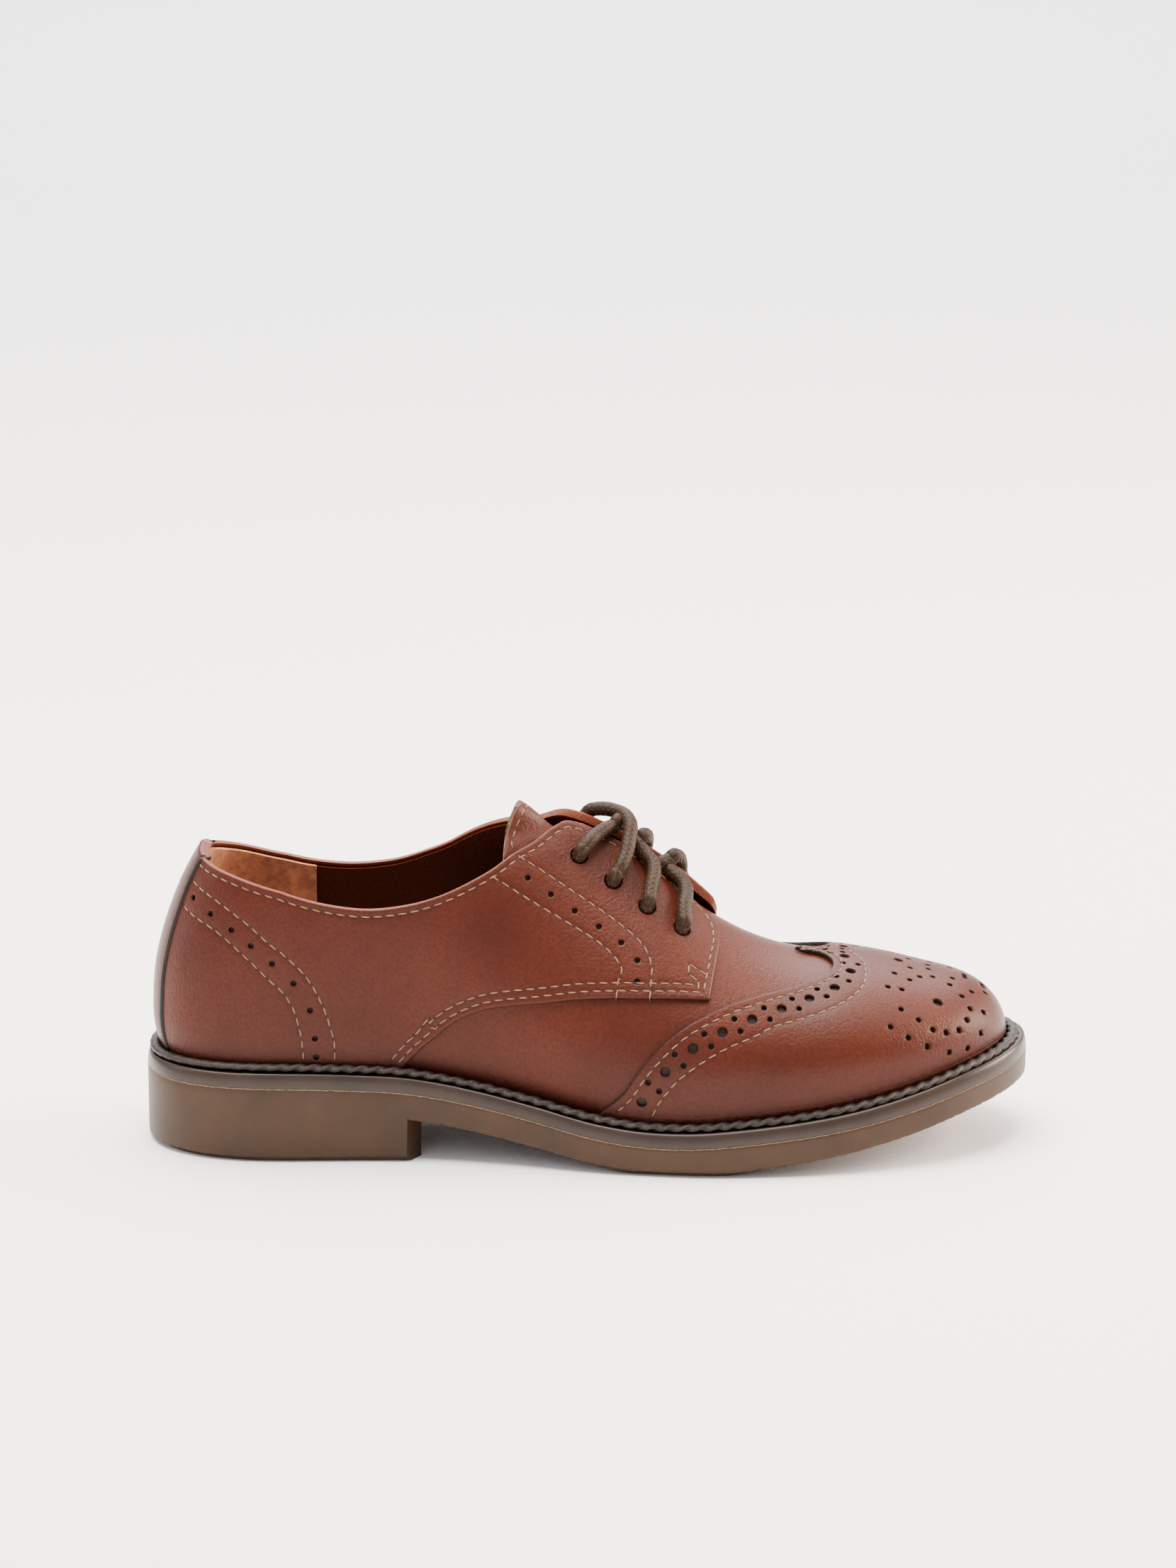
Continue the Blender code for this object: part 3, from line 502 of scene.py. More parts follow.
def over_toe(length, girth):
    """Pattern over both sides: girth is 0 on the ridge, -1 at the outer foot, 1 at the inner."""
    return length, 1 - np.abs(girth), np.where(girth < 0, LATERAL, MEDIAL)


def round_heel(length, climb):
    """Pattern round the heel: a negative length is on the outer side."""
    return np.abs(length), climb, np.where(length < 0, LATERAL, MEDIAL)


def on_side(side):
    """Pattern of a piece that stays on one side."""
    return lambda length, climb: (length, climb, side + 0 * np.asarray(length))


def curve(rows, count):
    """Points along a smooth curve through the rows of a two-column table."""
    rows = np.asarray(rows, float)
    gaps = np.linalg.norm(np.diff(rows, axis=0), axis=1)
    along = np.concatenate([[0], np.cumsum(gaps)])
    t = np.linspace(0, along[-1], count)
    columns = [smooth(np.stack([along, rows[:, k]], 1), 1, t) for k in (0, 1)]
    return np.stack(columns, 1)


def even(rows, place, spacing):
    """Points on the curve through rows, evenly spaced on the last."""
    dense = curve(rows, 60 * len(rows))
    points = on_last(*place(*dense.T), 0)
    steps = np.linalg.norm(np.diff(points, axis=0), axis=1)
    run = np.concatenate([[0], np.cumsum(steps)])
    count = max(2, int(round(run[-1] / spacing)))
    at = np.linspace(0, run[-1], count + 1)
    return np.stack([np.interp(at, run, dense[:, k]) for k in (0, 1)], 1)


def joined(sides, place, spacing):
    """A closed outline from curves that share their ends."""
    return np.concatenate([even(side, place, spacing)[:-1] for side in sides])


def stretch(spots, place):
    """Metres on the last for each unit of the pattern's two coordinates."""
    step = 1e-3
    u, v = spots.T
    across = (on_last(*place(u + step, v), 0) - on_last(*place(u - step, v), 0)) / (2 * step)
    up = (on_last(*place(u, v + step), 0) - on_last(*place(u, v - step), 0)) / (2 * step)
    return across, up


def beside(spots, place, gap, closed=False):
    """The line gap metres to the left of spots: at right angles to their flow on the last."""
    across, up = stretch(spots, place)
    if closed:
        flow = np.roll(spots, -1, 0) - np.roll(spots, 1, 0)
    else:
        flow = np.gradient(spots, axis=0)
    e = (across**2).sum(-1)
    f = (across * up).sum(-1)
    g = (up**2).sum(-1)
    px, py = -flow[:, 1], flow[:, 0]
    nx = g * px - f * py
    ny = e * py - f * px
    size = np.sqrt(e * nx**2 + 2 * f * nx * ny + g * ny**2)
    return spots + gap * np.stack([nx, ny], 1) / size[:, None]


def punch(centre, diameter, place, sides=12):
    """A hole's outline on the pattern that comes out round on the last."""
    spot = np.array([centre], float)
    across, up = (a[0] for a in stretch(spot, place))
    first = across / np.linalg.norm(across)
    second = up - first * (up @ first)
    second /= np.linalg.norm(second)
    turn = np.arange(sides) / sides * math.tau
    on_plane = diameter / 2 * np.stack([np.cos(turn), np.sin(turn)])
    axes = np.array([[across @ first, up @ first], [0, up @ second]])
    return spot + np.linalg.solve(axes, on_plane).T


def inside(points, outline):
    """Which points lie inside a closed outline, by counting crossings."""
    x, y = points[:, :1], points[:, 1:]
    x1, y1 = outline[:, 0], outline[:, 1]
    x2, y2 = np.roll(x1, -1), np.roll(y1, -1)
    rise = np.where(y2 == y1, 1e-12, y2 - y1)
    crossing = ((y1 > y) != (y2 > y)) & (x < (x2 - x1) * (y - y1) / rise + x1)
    return crossing.sum(1) % 2 == 1


def distance(points, line, closed=True):
    """Distance from each point to the nearest stretch of a line, some thousand points at a time."""
    start = line if closed else line[:-1]
    run = (np.roll(line, -1, 0) if closed else line[1:]) - start
    square = (run**2).sum(1) + 1e-18
    nearest = []
    for part in np.array_split(points, len(points) // 3000 + 1):
        offset = part[:, None] - start
        t = np.clip((offset * run).sum(-1) / square, 0, 1)
        nearest.append(np.linalg.norm(offset - t[..., None] * run, axis=-1).min(1))
    return np.concatenate(nearest)


def cut_pattern(outline, holes, lines, place, pitch, girth):
    """Triangles of a flat pattern, with rows of points beside its edges and its seams."""
    scale = np.array([SOLE_LENGTH, girth]) / MM
    pitch /= MM
    x, y = outline.T
    turn = np.sign((x * np.roll(y, -1) - np.roll(x, -1) * y).sum())
    rows = [beside(outline, place, turn * share * EDGE_RADIUS, True)
            for share in (0.08, 0.3, 0.62, 1.0, 1.9)]
    rows += [hole + (hole - hole.mean(0)) * share for hole in holes for share in (0.12, 0.35, 0.9)]
    for line in lines:
        rows += [beside(line, place, share * SEAM_WIDTH) for share in (-1, 0, 1)]
    rows = np.concatenate(rows) * scale
    low = outline.min(0) * scale
    high = outline.max(0) * scale
    levels = np.arange(low[1] + pitch / 2, high[1], pitch * 0.87)
    columns = np.arange(low[0], high[0], pitch)
    field = np.stack([columns[None, :] + (np.arange(len(levels)) % 2)[:, None] * pitch / 2,
                      levels[:, None] + 0 * columns[None, :]], -1).reshape(-1, 2)
    loops = [loop * scale for loop in [outline] + holes]

    def clear(points, gap):
        keep = inside(points, loops[0])
        points = points[keep]
        keep = distance(points, loops[0]) > gap
        for loop in loops[1:]:
            near = np.abs(points - loop.mean(0)).max(1) < 5
            ring = points[near]
            keep[near] &= ~inside(ring, loop) & (distance(ring, loop) > min(gap, 0.4))
        return points[keep]

    rows = clear(rows, 0.03)
    field = clear(field, pitch * 0.55)
    taken = set(map(tuple, np.round(rows / (pitch * 0.45)).astype(int).tolist()))
    cells = np.round(field / (pitch * 0.45)).astype(int).tolist()
    field = field[[tuple(cell) not in taken for cell in cells]]
    cells = np.round(rows / 0.12).astype(int)
    rows = rows[np.unique(cells, axis=0, return_index=True)[1]]

    flat = np.concatenate(loops + [rows, field])
    edges = []
    start = 0
    for loop in loops:
        edges += [(start + i, start + (i + 1) % len(loop)) for i in range(len(loop))]
        start += len(loop)
    result = delaunay_2d_cdt([Vector(p) for p in flat], edges, [], 0, 1e-9)
    flat = np.array([tuple(p) for p in result[0]])
    triangles = np.array(result[2])
    middle = flat[triangles].mean(1)
    keep = inside(middle, loops[0])
    for loop in loops[1:]:
        near = np.abs(middle - loop.mean(0)).max(1) < 5
        keep[near] &= ~inside(middle[near], loop)
    return flat / scale, triangles[keep]


def add_mesh(name, points, faces, material, attributes=None, sharp=40, nodes=()):
    """Put points and faces into a smooth-shaded piece that rides on the shoe."""
    mesh = bpy.data.meshes.new(name)
    mesh.from_pydata(np.asarray(points).reshape(-1, 3).tolist(), [], faces)
    for key, values in (attributes or {}).items():
        layer = mesh.attributes.new(key, "FLOAT", "POINT")
        layer.data.foreach_set("value", np.asarray(values, np.float32).ravel())
    mesh.shade_smooth()
    mesh.set_sharp_from_angle(angle=math.radians(sharp))
    mesh.materials.append(material)
    piece = bpy.data.objects.new(name, mesh)
    bpy.context.collection.objects.link(piece)
    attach(piece, "root")
    if nodes:
        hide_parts(*nodes)
    return piece


def level(height, place_of):
    """A height that is one number, or a function of length, climb and side."""
    return height(*place_of) if callable(height) else height


def rolled(gap, radius):
    """How far a rounded edge drops at a distance from it: a quarter circle."""
    rest = np.clip(radius - gap, 0, radius)
    return radius - np.sqrt(radius**2 - rest**2)


def leather(name, outline, holes, place, low, high, pitch, girth, material,
            lines=(), relief=None, radius=EDGE_RADIUS, nodes=(), lowering=None):
    """A sheet cut from a flat pattern and laid on the last, with rounded edges and sunk seams.

    Its top stands at high, less a quarter circle at each edge and a bell-shaped dip at each seam,
    plus its relief. Its underside is at low.
    """
    spots, triangles = cut_pattern(outline, holes, lines, place, pitch, girth)
    place_of = place(*spots.T)
    ground = on_last(*place_of, 0)
    edge = distance(ground, on_last(*place(*outline.T), 0))
    top = level(high, place_of) - rolled(edge, radius)
    hole_edge = np.full(len(spots), 1.0)
    for hole in holes:
        near = np.abs(spots - hole.mean(0)).max(1) < 0.05
        ring = on_last(*place(*hole.T), 0)
        hole_edge[near] = np.minimum(hole_edge[near], distance(ground[near], ring))
    top -= rolled(hole_edge, 0.3 * MM)
    seam = np.full(len(spots), 1.0)
    for line in lines:
        seam = np.minimum(seam, distance(ground, on_last(*place(*line.T), 0), closed=False))
    top -= SEAM_DEPTH * np.exp(-(seam / SEAM_WIDTH) ** 2)
    if relief is not None:
        top += relief(*place_of) * ease(edge / (3 * MM))
    bottom = level(low, place_of) + np.zeros(len(spots))
    if lowering is not None:
        bottom -= lowering(edge, *place_of)
    outer = on_last(*place_of, top)
    inner = on_last(*place_of, np.minimum(bottom, top - 0.05 * MM))
    shift = len(spots)
    faces = np.concatenate([triangles, triangles[:, ::-1] + shift]).tolist()
    pairs = np.concatenate([triangles[:, [0, 1]], triangles[:, [1, 2]], triangles[:, [2, 0]]])
    keys = pairs[:, 0] * (shift + 1) + pairs[:, 1]
    backs = pairs[:, 1] * (shift + 1) + pairs[:, 0]
    rim = pairs[~np.isin(keys, backs)]
    faces += np.stack([rim[:, 1], rim[:, 0], rim[:, 0] + shift, rim[:, 1] + shift], 1).tolist()
    if facing_in(outer, triangles, place_of):
        faces = [face[::-1] for face in faces]
    foot = ground[:, 2] - rim_height(ground[:, 0] + ORIGIN[0])
    attributes = {
        "edge_mm": np.concatenate([edge / MM, edge / MM - 0.3]),
        "hole_mm": np.concatenate([hole_edge / MM, hole_edge / MM - 0.5]),
        "seam_mm": np.tile(seam / MM, 2),
        "foot_mm": np.tile(foot / MM, 2),
    }
    return add_mesh(name, np.concatenate([outer, inner]), faces, material, attributes,
                    nodes=nodes)


def facing_in(points, triangles, place_of):
    """Whether the triangles turn towards the last and not away from it."""
    a, b, c = (points[triangles[:, k]] for k in range(3))
    turn = np.cross(b - a, c - a)
    outward = last_normals(*place_of)[triangles[:, 0]]
    return (turn * outward).sum() < 0


def grid_faces(rows, columns, wrap_rows=False, wrap_columns=False, caps=False):
    """Quads of a grid whose points are numbered row by row, with end caps if asked."""
    i = np.arange(rows if wrap_rows else rows - 1)[:, None]
    j = np.arange(columns if wrap_columns else columns - 1)[None, :]
    a = i * columns + j
    b = i * columns + (j + 1) % columns
    c = (i + 1) % rows * columns + (j + 1) % columns
    d = (i + 1) % rows * columns + j
    faces = np.stack(np.broadcast_arrays(a, b, c, d), -1).reshape(-1, 4).tolist()
    if caps:
        faces.append(list(range(columns))[::-1])
        faces.append([(rows - 1) * columns + k for k in range(columns)])
    return faces


def unit(vectors):
    return vectors / np.maximum(np.linalg.norm(vectors, axis=-1, keepdims=True), 1e-12)


def stitch_parts(spots, place, height, slant):
    """Threads and needle holes along one line.

    Each thread is a capsule whose middle rises over the leather and whose ends dip into it. Each
    needle hole is a flat dark lens of painted shade between two threads.
    """
    dense = curve(spots, 12 * len(spots)) if len(spots) < 200 else spots
    place_of = place(*dense.T)
    line = on_last(*place_of, level(height, place_of))
    out = last_normals(*place_of)
    steps = np.linalg.norm(np.diff(line, axis=0), axis=1)
    run = np.concatenate([[0], np.cumsum(steps)])
    count = max(1, round(run[-1] / STITCH_PITCH))
    pitch = run[-1] / count
    flow = unit(np.gradient(line, axis=0))

    def at(where, values):
        return np.stack([np.interp(where, run, values[:, k]) for k in range(3)], -1)

    rings, sides = 7, 6
    t = np.linspace(-1, 1, rings)
    where = (np.arange(count)[:, None] + 0.5) * pitch + t * STITCH_LENGTH / 2
    normal = unit(at(where, out))
    across = unit(np.cross(at(where, flow), normal))
    lift = THREAD_RADIUS * (1.25 * np.sqrt(np.maximum(1 - t**2, 0)) - 0.75)
    width = THREAD_RADIUS * np.array([0.35, 0.8, 1.0, 1.05, 1.0, 0.8, 0.35])
    centre = at(where, line) + normal * lift[:, None] + across * (slant * t)[:, None]
    turn = np.arange(sides) / sides * math.tau
    ring = (across[:, :, None] * np.cos(turn)[:, None]
            + normal[:, :, None] * 0.85 * np.sin(turn)[:, None])
    threads = centre[:, :, None] + ring * width[:, None, None]

    where = np.arange(count + 1) * pitch
    normal = unit(at(where, out))
    tangent = unit(at(where, flow))
    across = np.cross(tangent, normal)
    turn = np.arange(8) / 8 * math.tau
    rim = (tangent[:, None] * 0.46 * np.cos(turn)[:, None]
           + across[:, None] * 0.24 * np.sin(turn)[:, None]) * MM
    top = at(where, line)[:, None] + rim * 0.8 + normal[:, None] * 0.03 * MM
    middle = at(where, line)[:, None] + rim - normal[:, None] * 0.04 * MM
    under = at(where, line)[:, None] + rim * 0.6 - normal[:, None] * 0.3 * MM
    pits = np.stack([top, middle, under], 1)
    return threads, pits


def add_stitches(name, runs, thread, shade, slant=0.07 * MM):
    """All threads of one piece in one mesh, and its needle holes in another.

    runs lists (line on the pattern, place, height).
    """
    parts = [stitch_parts(spots, place, height, slant) for spots, place, height in runs]
    for kind, blocks, material in (("threads", [p[0] for p in parts], thread),
                                   ("needle_holes", [p[1] for p in parts], shade)):
        blocks = np.concatenate(blocks)
        count, rings, sides = blocks.shape[:3]
        one = np.array(grid_faces(rings, sides, wrap_columns=True))
        starts = np.arange(count)[:, None, None] * rings * sides
        faces = (one + starts).reshape(-1, 4).tolist()
        cap = np.arange(sides)
        faces += (cap[::-1] + starts[:, 0]).tolist()
        faces += (cap + (rings - 1) * sides + starts[:, 0]).tolist()
        piece = add_mesh(f"{name}_{kind}", blocks, faces, material, sharp=80)
        outward(piece)


def outward(piece):
    """Turn every closed shell of a mesh to face outwards."""
    work = bmesh.new()
    work.from_mesh(piece.data)
    bmesh.ops.recalc_face_normals(work, faces=work.faces)
    work.to_mesh(piece.data)
    work.free()


def wobble(x, seed, pitch, octaves=3):
    """Uneven wave along x: sines whose pitches aren't multiples of each other."""
    rng = np.random.default_rng(seed)
    total = 0
    for k in range(octaves):
        for share in (1.0, 0.62):
            total = total + np.sin(x / (pitch * share / 1.9**k) * math.tau
                                   + rng.uniform(0, math.tau)) / 1.5**k
    return total / (2 * octaves)


def colour(code):
    """An sRGB hex code as linear colour."""
    parts = [int(code[i:i + 2], 16) / 255 for i in (1, 3, 5)]
    return (*[c / 12.92 if c <= 0.04045 else ((c + 0.055) / 1.055) ** 2.4 for c in parts], 1)


def add(tree, kind, inputs=None, **settings):
    """One node: its settings, then each input as a value or as a link from another socket."""
    made = tree.nodes.new(kind)
    for key, value in settings.items():
        setattr(made, key, value)
    for key, value in (inputs or {}).items():
        if isinstance(value, bpy.types.NodeSocket):
            tree.links.new(value, made.inputs[key])
        else:
            made.inputs[key].default_value = value
    return made


def new_material(name, inputs):
    """A Principled material; returns it with its node tree, shader and object coordinates."""
    material = bpy.data.materials.new(name)
    material.use_nodes = True
    tree = material.node_tree
    shader = tree.nodes["Principled BSDF"]
    for key, value in inputs.items():
        shader.inputs[key].default_value = value
    return material, tree, shader, add(tree, "ShaderNodeTexCoord").outputs["Object"]


# Nodes' sockets by place, for the Mix node in its colour mode
FACTOR, FIRST, SECOND, BLENDED = 0, 6, 7, 2

# Printed grain of the leather, and the uneven field that bends it
PEBBLE_SIZE = 0.80 * MM
PEBBLE_DEPTH = 0.11 * MM
BEND_SIZE = 1 / 420
BEND_REACH = 0.7 * MM

# Tones of the leather, with a painted shade above the welt and a painted highlight on smooth edges
LIGHT_TAN = "#481908"
DARK_TAN = "#3c1205"
CREVICE_TONE = "#290b03"
# Painted shade on the leather just above the welt
WELT_SHADE_TONE = "#210a05"
SEWN_TONE = "#2c1007"
PUNCHED_TONE = "#231510"
# Painted highlight along smooth rounded edges; the raw cut edge keeps its own dark tone
EDGE_HIGHLIGHT_TONE = "#642d19"
RAW_EDGE = "#20120d"


def tan_leather(name="corrected_grain_calf_leather"):
    """Calf leather with a printed pebble grain of 0.8 mm and a wax finish.

    The grain gives fine glints on a satin skin, the hand-dyed colour clouds over some 30 mm, and
    the leather darkens along its seams. A painted shade darkens it just above the welt, and a
    painted highlight lightens its smooth cut edges.
    """
    material, tree, shader, where = new_material(name, {
        "Roughness": 0.36, "IOR": 1.5, "Specular IOR Level": 0.16, "Coat Weight": 0.03,
        "Coat Roughness": 0.25})
    bend = add(tree, "ShaderNodeTexNoise", {"Vector": where, "Scale": 1 / BEND_SIZE, "Detail": 1})
    shifted = add(tree, "ShaderNodeVectorMath", {0: bend.outputs["Color"], 1: (BEND_REACH,) * 3},
                  operation="MULTIPLY")
    moved = add(tree, "ShaderNodeVectorMath", {0: where, 1: shifted.outputs[0]}, operation="ADD")
    turned = add(tree, "ShaderNodeMapping", {
        "Vector": moved.outputs[0], "Rotation": (0.5, 0.6, 0.4), "Scale": (1.0, 1.35, 0.75)})
    pebble = add(tree, "ShaderNodeTexVoronoi", {
        "Vector": turned.outputs[0], "Scale": 1 / PEBBLE_SIZE, "Smoothness": 0.5},
        feature="SMOOTH_F1")
    fine = add(tree, "ShaderNodeTexNoise", {"Vector": where, "Scale": 1 / (0.25 * MM), "Detail": 2})
    height = add(tree, "ShaderNodeMath", {
        0: pebble.outputs["Distance"], 1: -1.0, 2: fine.outputs["Fac"]}, operation="MULTIPLY_ADD")
    edge, pucker, raw, foot, seam, hole = (
        add(tree, "ShaderNodeAttribute", attribute_name=key).outputs["Fac"]
        for key in ("edge_mm", "pucker", "raw", "foot_mm", "seam_mm", "hole_mm"))
    crinkle = add(tree, "ShaderNodeTexNoise", {
        "Vector": turned.outputs[0], "Scale": 1 / (0.9 * MM), "Detail": 2, "Roughness": 0.7})
    border = add(tree, "ShaderNodeMapRange", {
        "Value": edge, "From Min": 2.2, "From Max": 2.6, "To Min": 1, "To Max": 0})
    crinkled = add(tree, "ShaderNodeMath", {0: border.outputs[0], 1: pucker},
                   operation="MULTIPLY")
    fold = add(tree, "ShaderNodeMath", {0: crinkle.outputs["Fac"], 1: crinkled.outputs[0]},
               operation="MULTIPLY")
    total = add(tree, "ShaderNodeMath", {
        0: fold.outputs[0], 1: 2.6, 2: height.outputs[0]}, operation="MULTIPLY_ADD")
    bump = add(tree, "ShaderNodeBump", {
        "Strength": 0.95, "Distance": PEBBLE_DEPTH, "Height": total.outputs[0]})
    tree.links.new(bump.outputs[0], shader.inputs["Normal"])

    cloud = add(tree, "ShaderNodeTexNoise", {"Vector": where, "Scale": 1 / (34 * MM), "Detail": 3})
    cloudy = add(tree, "ShaderNodeMapRange", {
        "Value": cloud.outputs["Fac"], "From Min": 0.35, "From Max": 0.65})
    base = add(tree, "ShaderNodeMix", {
        FACTOR: cloudy.outputs[0], FIRST: colour(LIGHT_TAN), SECOND: colour(DARK_TAN)},
        data_type="RGBA")
    tone = base
    for source, start, end, least, most, code in (
            (pebble.outputs["Distance"], 0.35, 0.75, 0, 0.35, CREVICE_TONE),
            # Painted shade: the leather darkens over the lowest 7 mm above the welt
            (foot, 0.5, 7.0, 0.72, 0, WELT_SHADE_TONE),
            (seam, 0.2, 1.1, 0.4, 0, SEWN_TONE),
            (hole, 0.02, 0.35, 0.75, 0, PUNCHED_TONE)):
        share = add(tree, "ShaderNodeMapRange", {
            "Value": source, "From Min": start, "From Max": end, "To Min": least, "To Max": most})
        tone = add(tree, "ShaderNodeMix", {
            FACTOR: share.outputs[0], FIRST: tone.outputs[BLENDED], SECOND: colour(code)},
            data_type="RGBA")
    # At the cut edge: a painted highlight on smooth edges, and the raw edge's own dark tone where
    # raw is set
    cut = add(tree, "ShaderNodeMapRange", {
        "Value": edge, "From Min": 0.1, "From Max": 0.5, "To Min": 1, "To Max": 0})
    lip = add(tree, "ShaderNodeMix", {
        FACTOR: raw, FIRST: colour(EDGE_HIGHLIGHT_TONE), SECOND: colour(RAW_EDGE)},
        data_type="RGBA")
    final = add(tree, "ShaderNodeMix", {
        FACTOR: cut.outputs[0], FIRST: tone.outputs[BLENDED], SECOND: lip.outputs[BLENDED]},
        data_type="RGBA")
    tree.links.new(final.outputs[BLENDED], shader.inputs["Base Color"])
    satin = add(tree, "ShaderNodeMapRange", {
        "Value": fine.outputs["Fac"], "From Min": 0.3, "From Max": 0.7, "To Min": 0.30,
        "To Max": 0.46})
    tree.links.new(satin.outputs[0], shader.inputs["Roughness"])
    return material


def mottled(name, first, second, size, bump_size, bump_depth, inputs):
    """A plain finish whose colour clouds between two tones, with a fine uneven skin."""
    material, tree, shader, where = new_material(name, inputs)
    cloud = add(tree, "ShaderNodeTexNoise", {"Vector": where, "Scale": 1 / size, "Detail": 3})
    spread = add(tree, "ShaderNodeMapRange", {
        "Value": cloud.outputs["Fac"], "From Min": 0.35, "From Max": 0.65})
    mixed = add(tree, "ShaderNodeMix", {
        FACTOR: spread.outputs[0], FIRST: colour(first), SECOND: colour(second)},
        data_type="RGBA")
    tree.links.new(mixed.outputs[BLENDED], shader.inputs["Base Color"])
    skin = add(tree, "ShaderNodeTexNoise", {"Vector": where, "Scale": 1 / bump_size, "Detail": 4})
    bump = add(tree, "ShaderNodeBump", {
        "Strength": 0.8, "Distance": bump_depth, "Height": skin.outputs["Fac"]})
    tree.links.new(bump.outputs[0], shader.inputs["Normal"])
    return material


def braided_cotton(name="waxed_braided_cotton"):
    """Round braided cotton lace, waxed, with painted shade in the gaps between strands and a
    painted highlight on their tops.
    """
    material, tree, shader, where = new_material(name, {
        "Roughness": 0.55, "IOR": 1.46, "Specular IOR Level": 0.2})
    strand = add(tree, "ShaderNodeAttribute", attribute_name="strand")
    fibre = add(tree, "ShaderNodeTexNoise", {"Vector": where, "Scale": 1 / (0.3 * MM), "Detail": 3})
    gap = add(tree, "ShaderNodeMapRange", {
        "Value": strand.outputs["Fac"], "From Min": -0.2, "From Max": 0.9})
    highlight_level = add(tree, "ShaderNodeMath", {0: fibre.outputs["Fac"], 1: 0.5, 2: gap.outputs[0]},
               operation="MULTIPLY_ADD")
    # Painted shade in the gaps between strands
    shade = add(tree, "ShaderNodeMix", {
        FACTOR: gap.outputs[0], FIRST: colour("#0c0603"), SECOND: colour("#281709")},
        data_type="RGBA")
    # Painted highlight on the strands' tops
    lit = add(tree, "ShaderNodeMapRange", {
        "Value": highlight_level.outputs[0], "From Min": 1.1, "From Max": 1.45, "To Min": 0, "To Max": 0.6})
    mixed = add(tree, "ShaderNodeMix", {
        FACTOR: lit.outputs[0], FIRST: shade.outputs[BLENDED], SECOND: colour("#50321a")},
        data_type="RGBA")
    tree.links.new(mixed.outputs[BLENDED], shader.inputs["Base Color"])
    bump = add(tree, "ShaderNodeBump", {
        "Strength": 0.7, "Distance": 0.1 * MM, "Height": fibre.outputs["Fac"]})
    tree.links.new(bump.outputs[0], shader.inputs["Normal"])
    return material


def woven_lining(name="woven_cotton_lining"):
    """Dark brown cotton drill, woven at 0.8 mm so that the weave still shows in the render."""
    material, tree, shader, where = new_material(name, {
        "Roughness": 0.9, "IOR": 1.46, "Specular IOR Level": 0.08})
    along = add(tree, "ShaderNodeAttribute", attribute_name="along_mm")
    up = add(tree, "ShaderNodeAttribute", attribute_name="up_mm")
    thread = 0.8
    waves = []
    for source in (along, up):
        scaled = add(tree, "ShaderNodeMath", {0: source.outputs["Fac"], 1: math.tau / thread},
                     operation="MULTIPLY")
        waves.append(add(tree, "ShaderNodeMath", {0: scaled.outputs[0]}, operation="SINE"))
    weave = add(tree, "ShaderNodeMath", {0: waves[0].outputs[0], 1: waves[1].outputs[0]},
                operation="MULTIPLY")
    fibre = add(tree, "ShaderNodeTexNoise", {"Vector": where, "Scale": 1 / (0.5 * MM), "Detail": 3})
    both = add(tree, "ShaderNodeMath", {0: fibre.outputs["Fac"], 1: 1.2, 2: weave.outputs[0]},
               operation="MULTIPLY_ADD")
    level = add(tree, "ShaderNodeMapRange", {
        "Value": both.outputs[0], "From Min": -0.3, "From Max": 1.6})
    mixed = add(tree, "ShaderNodeMix", {
        FACTOR: level.outputs[0], FIRST: colour("#210a04"), SECOND: colour("#522010")},
        data_type="RGBA")
    tree.links.new(mixed.outputs[BLENDED], shader.inputs["Base Color"])
    bump = add(tree, "ShaderNodeBump", {
        "Strength": 0.9, "Distance": 0.15 * MM, "Height": both.outputs[0]})
    tree.links.new(bump.outputs[0], shader.inputs["Normal"])
    return material


LEATHER = tan_leather()
# Vegetable-tanned split under the punching: matt dark brown, made near black by painted shade
# inside the holes
BACKING = mottled("dark_backing_and_hole_shade", "#1d100b", "#281710", 2 * MM, 0.3 * MM, 0.05 * MM,
                  {"Roughness": 0.8, "IOR": 1.5})
# Waxed polyester thread: golden, with a soft shine
THREAD = mottled("waxed_polyester_thread", "#6e441f", "#825630", 1.5 * MM, 0.25 * MM, 0.08 * MM,
                 {"Roughness": 0.5, "IOR": 1.5, "Sheen Weight": 0.2})
# Painted shade of a needle hole: a near black lens for the hole's dark inside
NEEDLE_SHADE = mottled("needle_hole_shade", "#120804", "#1c0e08", 1 * MM, 0.3 * MM, 0.02 * MM,
                       {"Roughness": 0.9, "IOR": 1.5})
# Brushed suede split: a velvety nap with a pale bloom at grazing angles
SUEDE = mottled("brushed_suede", "#ac6b46", "#834d37", 3.2 * MM, 0.35 * MM, 0.25 * MM,
                {"Roughness": 0.95, "IOR": 1.45, "Sheen Weight": 0.7, "Sheen Roughness": 0.5,
                 "Sheen Tint": colour("#e0b080")})
# Vulcanised gum rubber: warm, waxy and slightly see-through
GUM_RUBBER = mottled("vulcanised_gum_rubber", "#2e1b09", "#38220e", 16 * MM, 0.45 * MM,
                     0.03 * MM, {"Roughness": 0.48, "IOR": 1.52, "Specular IOR Level": 0.25,
                                 "Subsurface Weight": 0.12,
                                 "Subsurface Radius": (0.004, 0.002, 0.001),
                                 "Subsurface Scale": 0.5})
# Moulded thermoplastic rubber: smooth taupe with a satin roll of light on its bevel
TAUPE_RUBBER = mottled("moulded_taupe_rubber", "#221711", "#2a1d16", 12 * MM, 0.5 * MM,
                       0.015 * MM, {"Roughness": 0.36, "IOR": 1.5, "Specular IOR Level": 0.3})
# Ragged mould flash where gum and taupe rubber meet
FLASH_RUBBER = mottled("rubber_mould_flash", "#7c6548", "#604d33", 1.2 * MM, 0.3 * MM,
                       0.05 * MM, {"Roughness": 0.7, "IOR": 1.5})
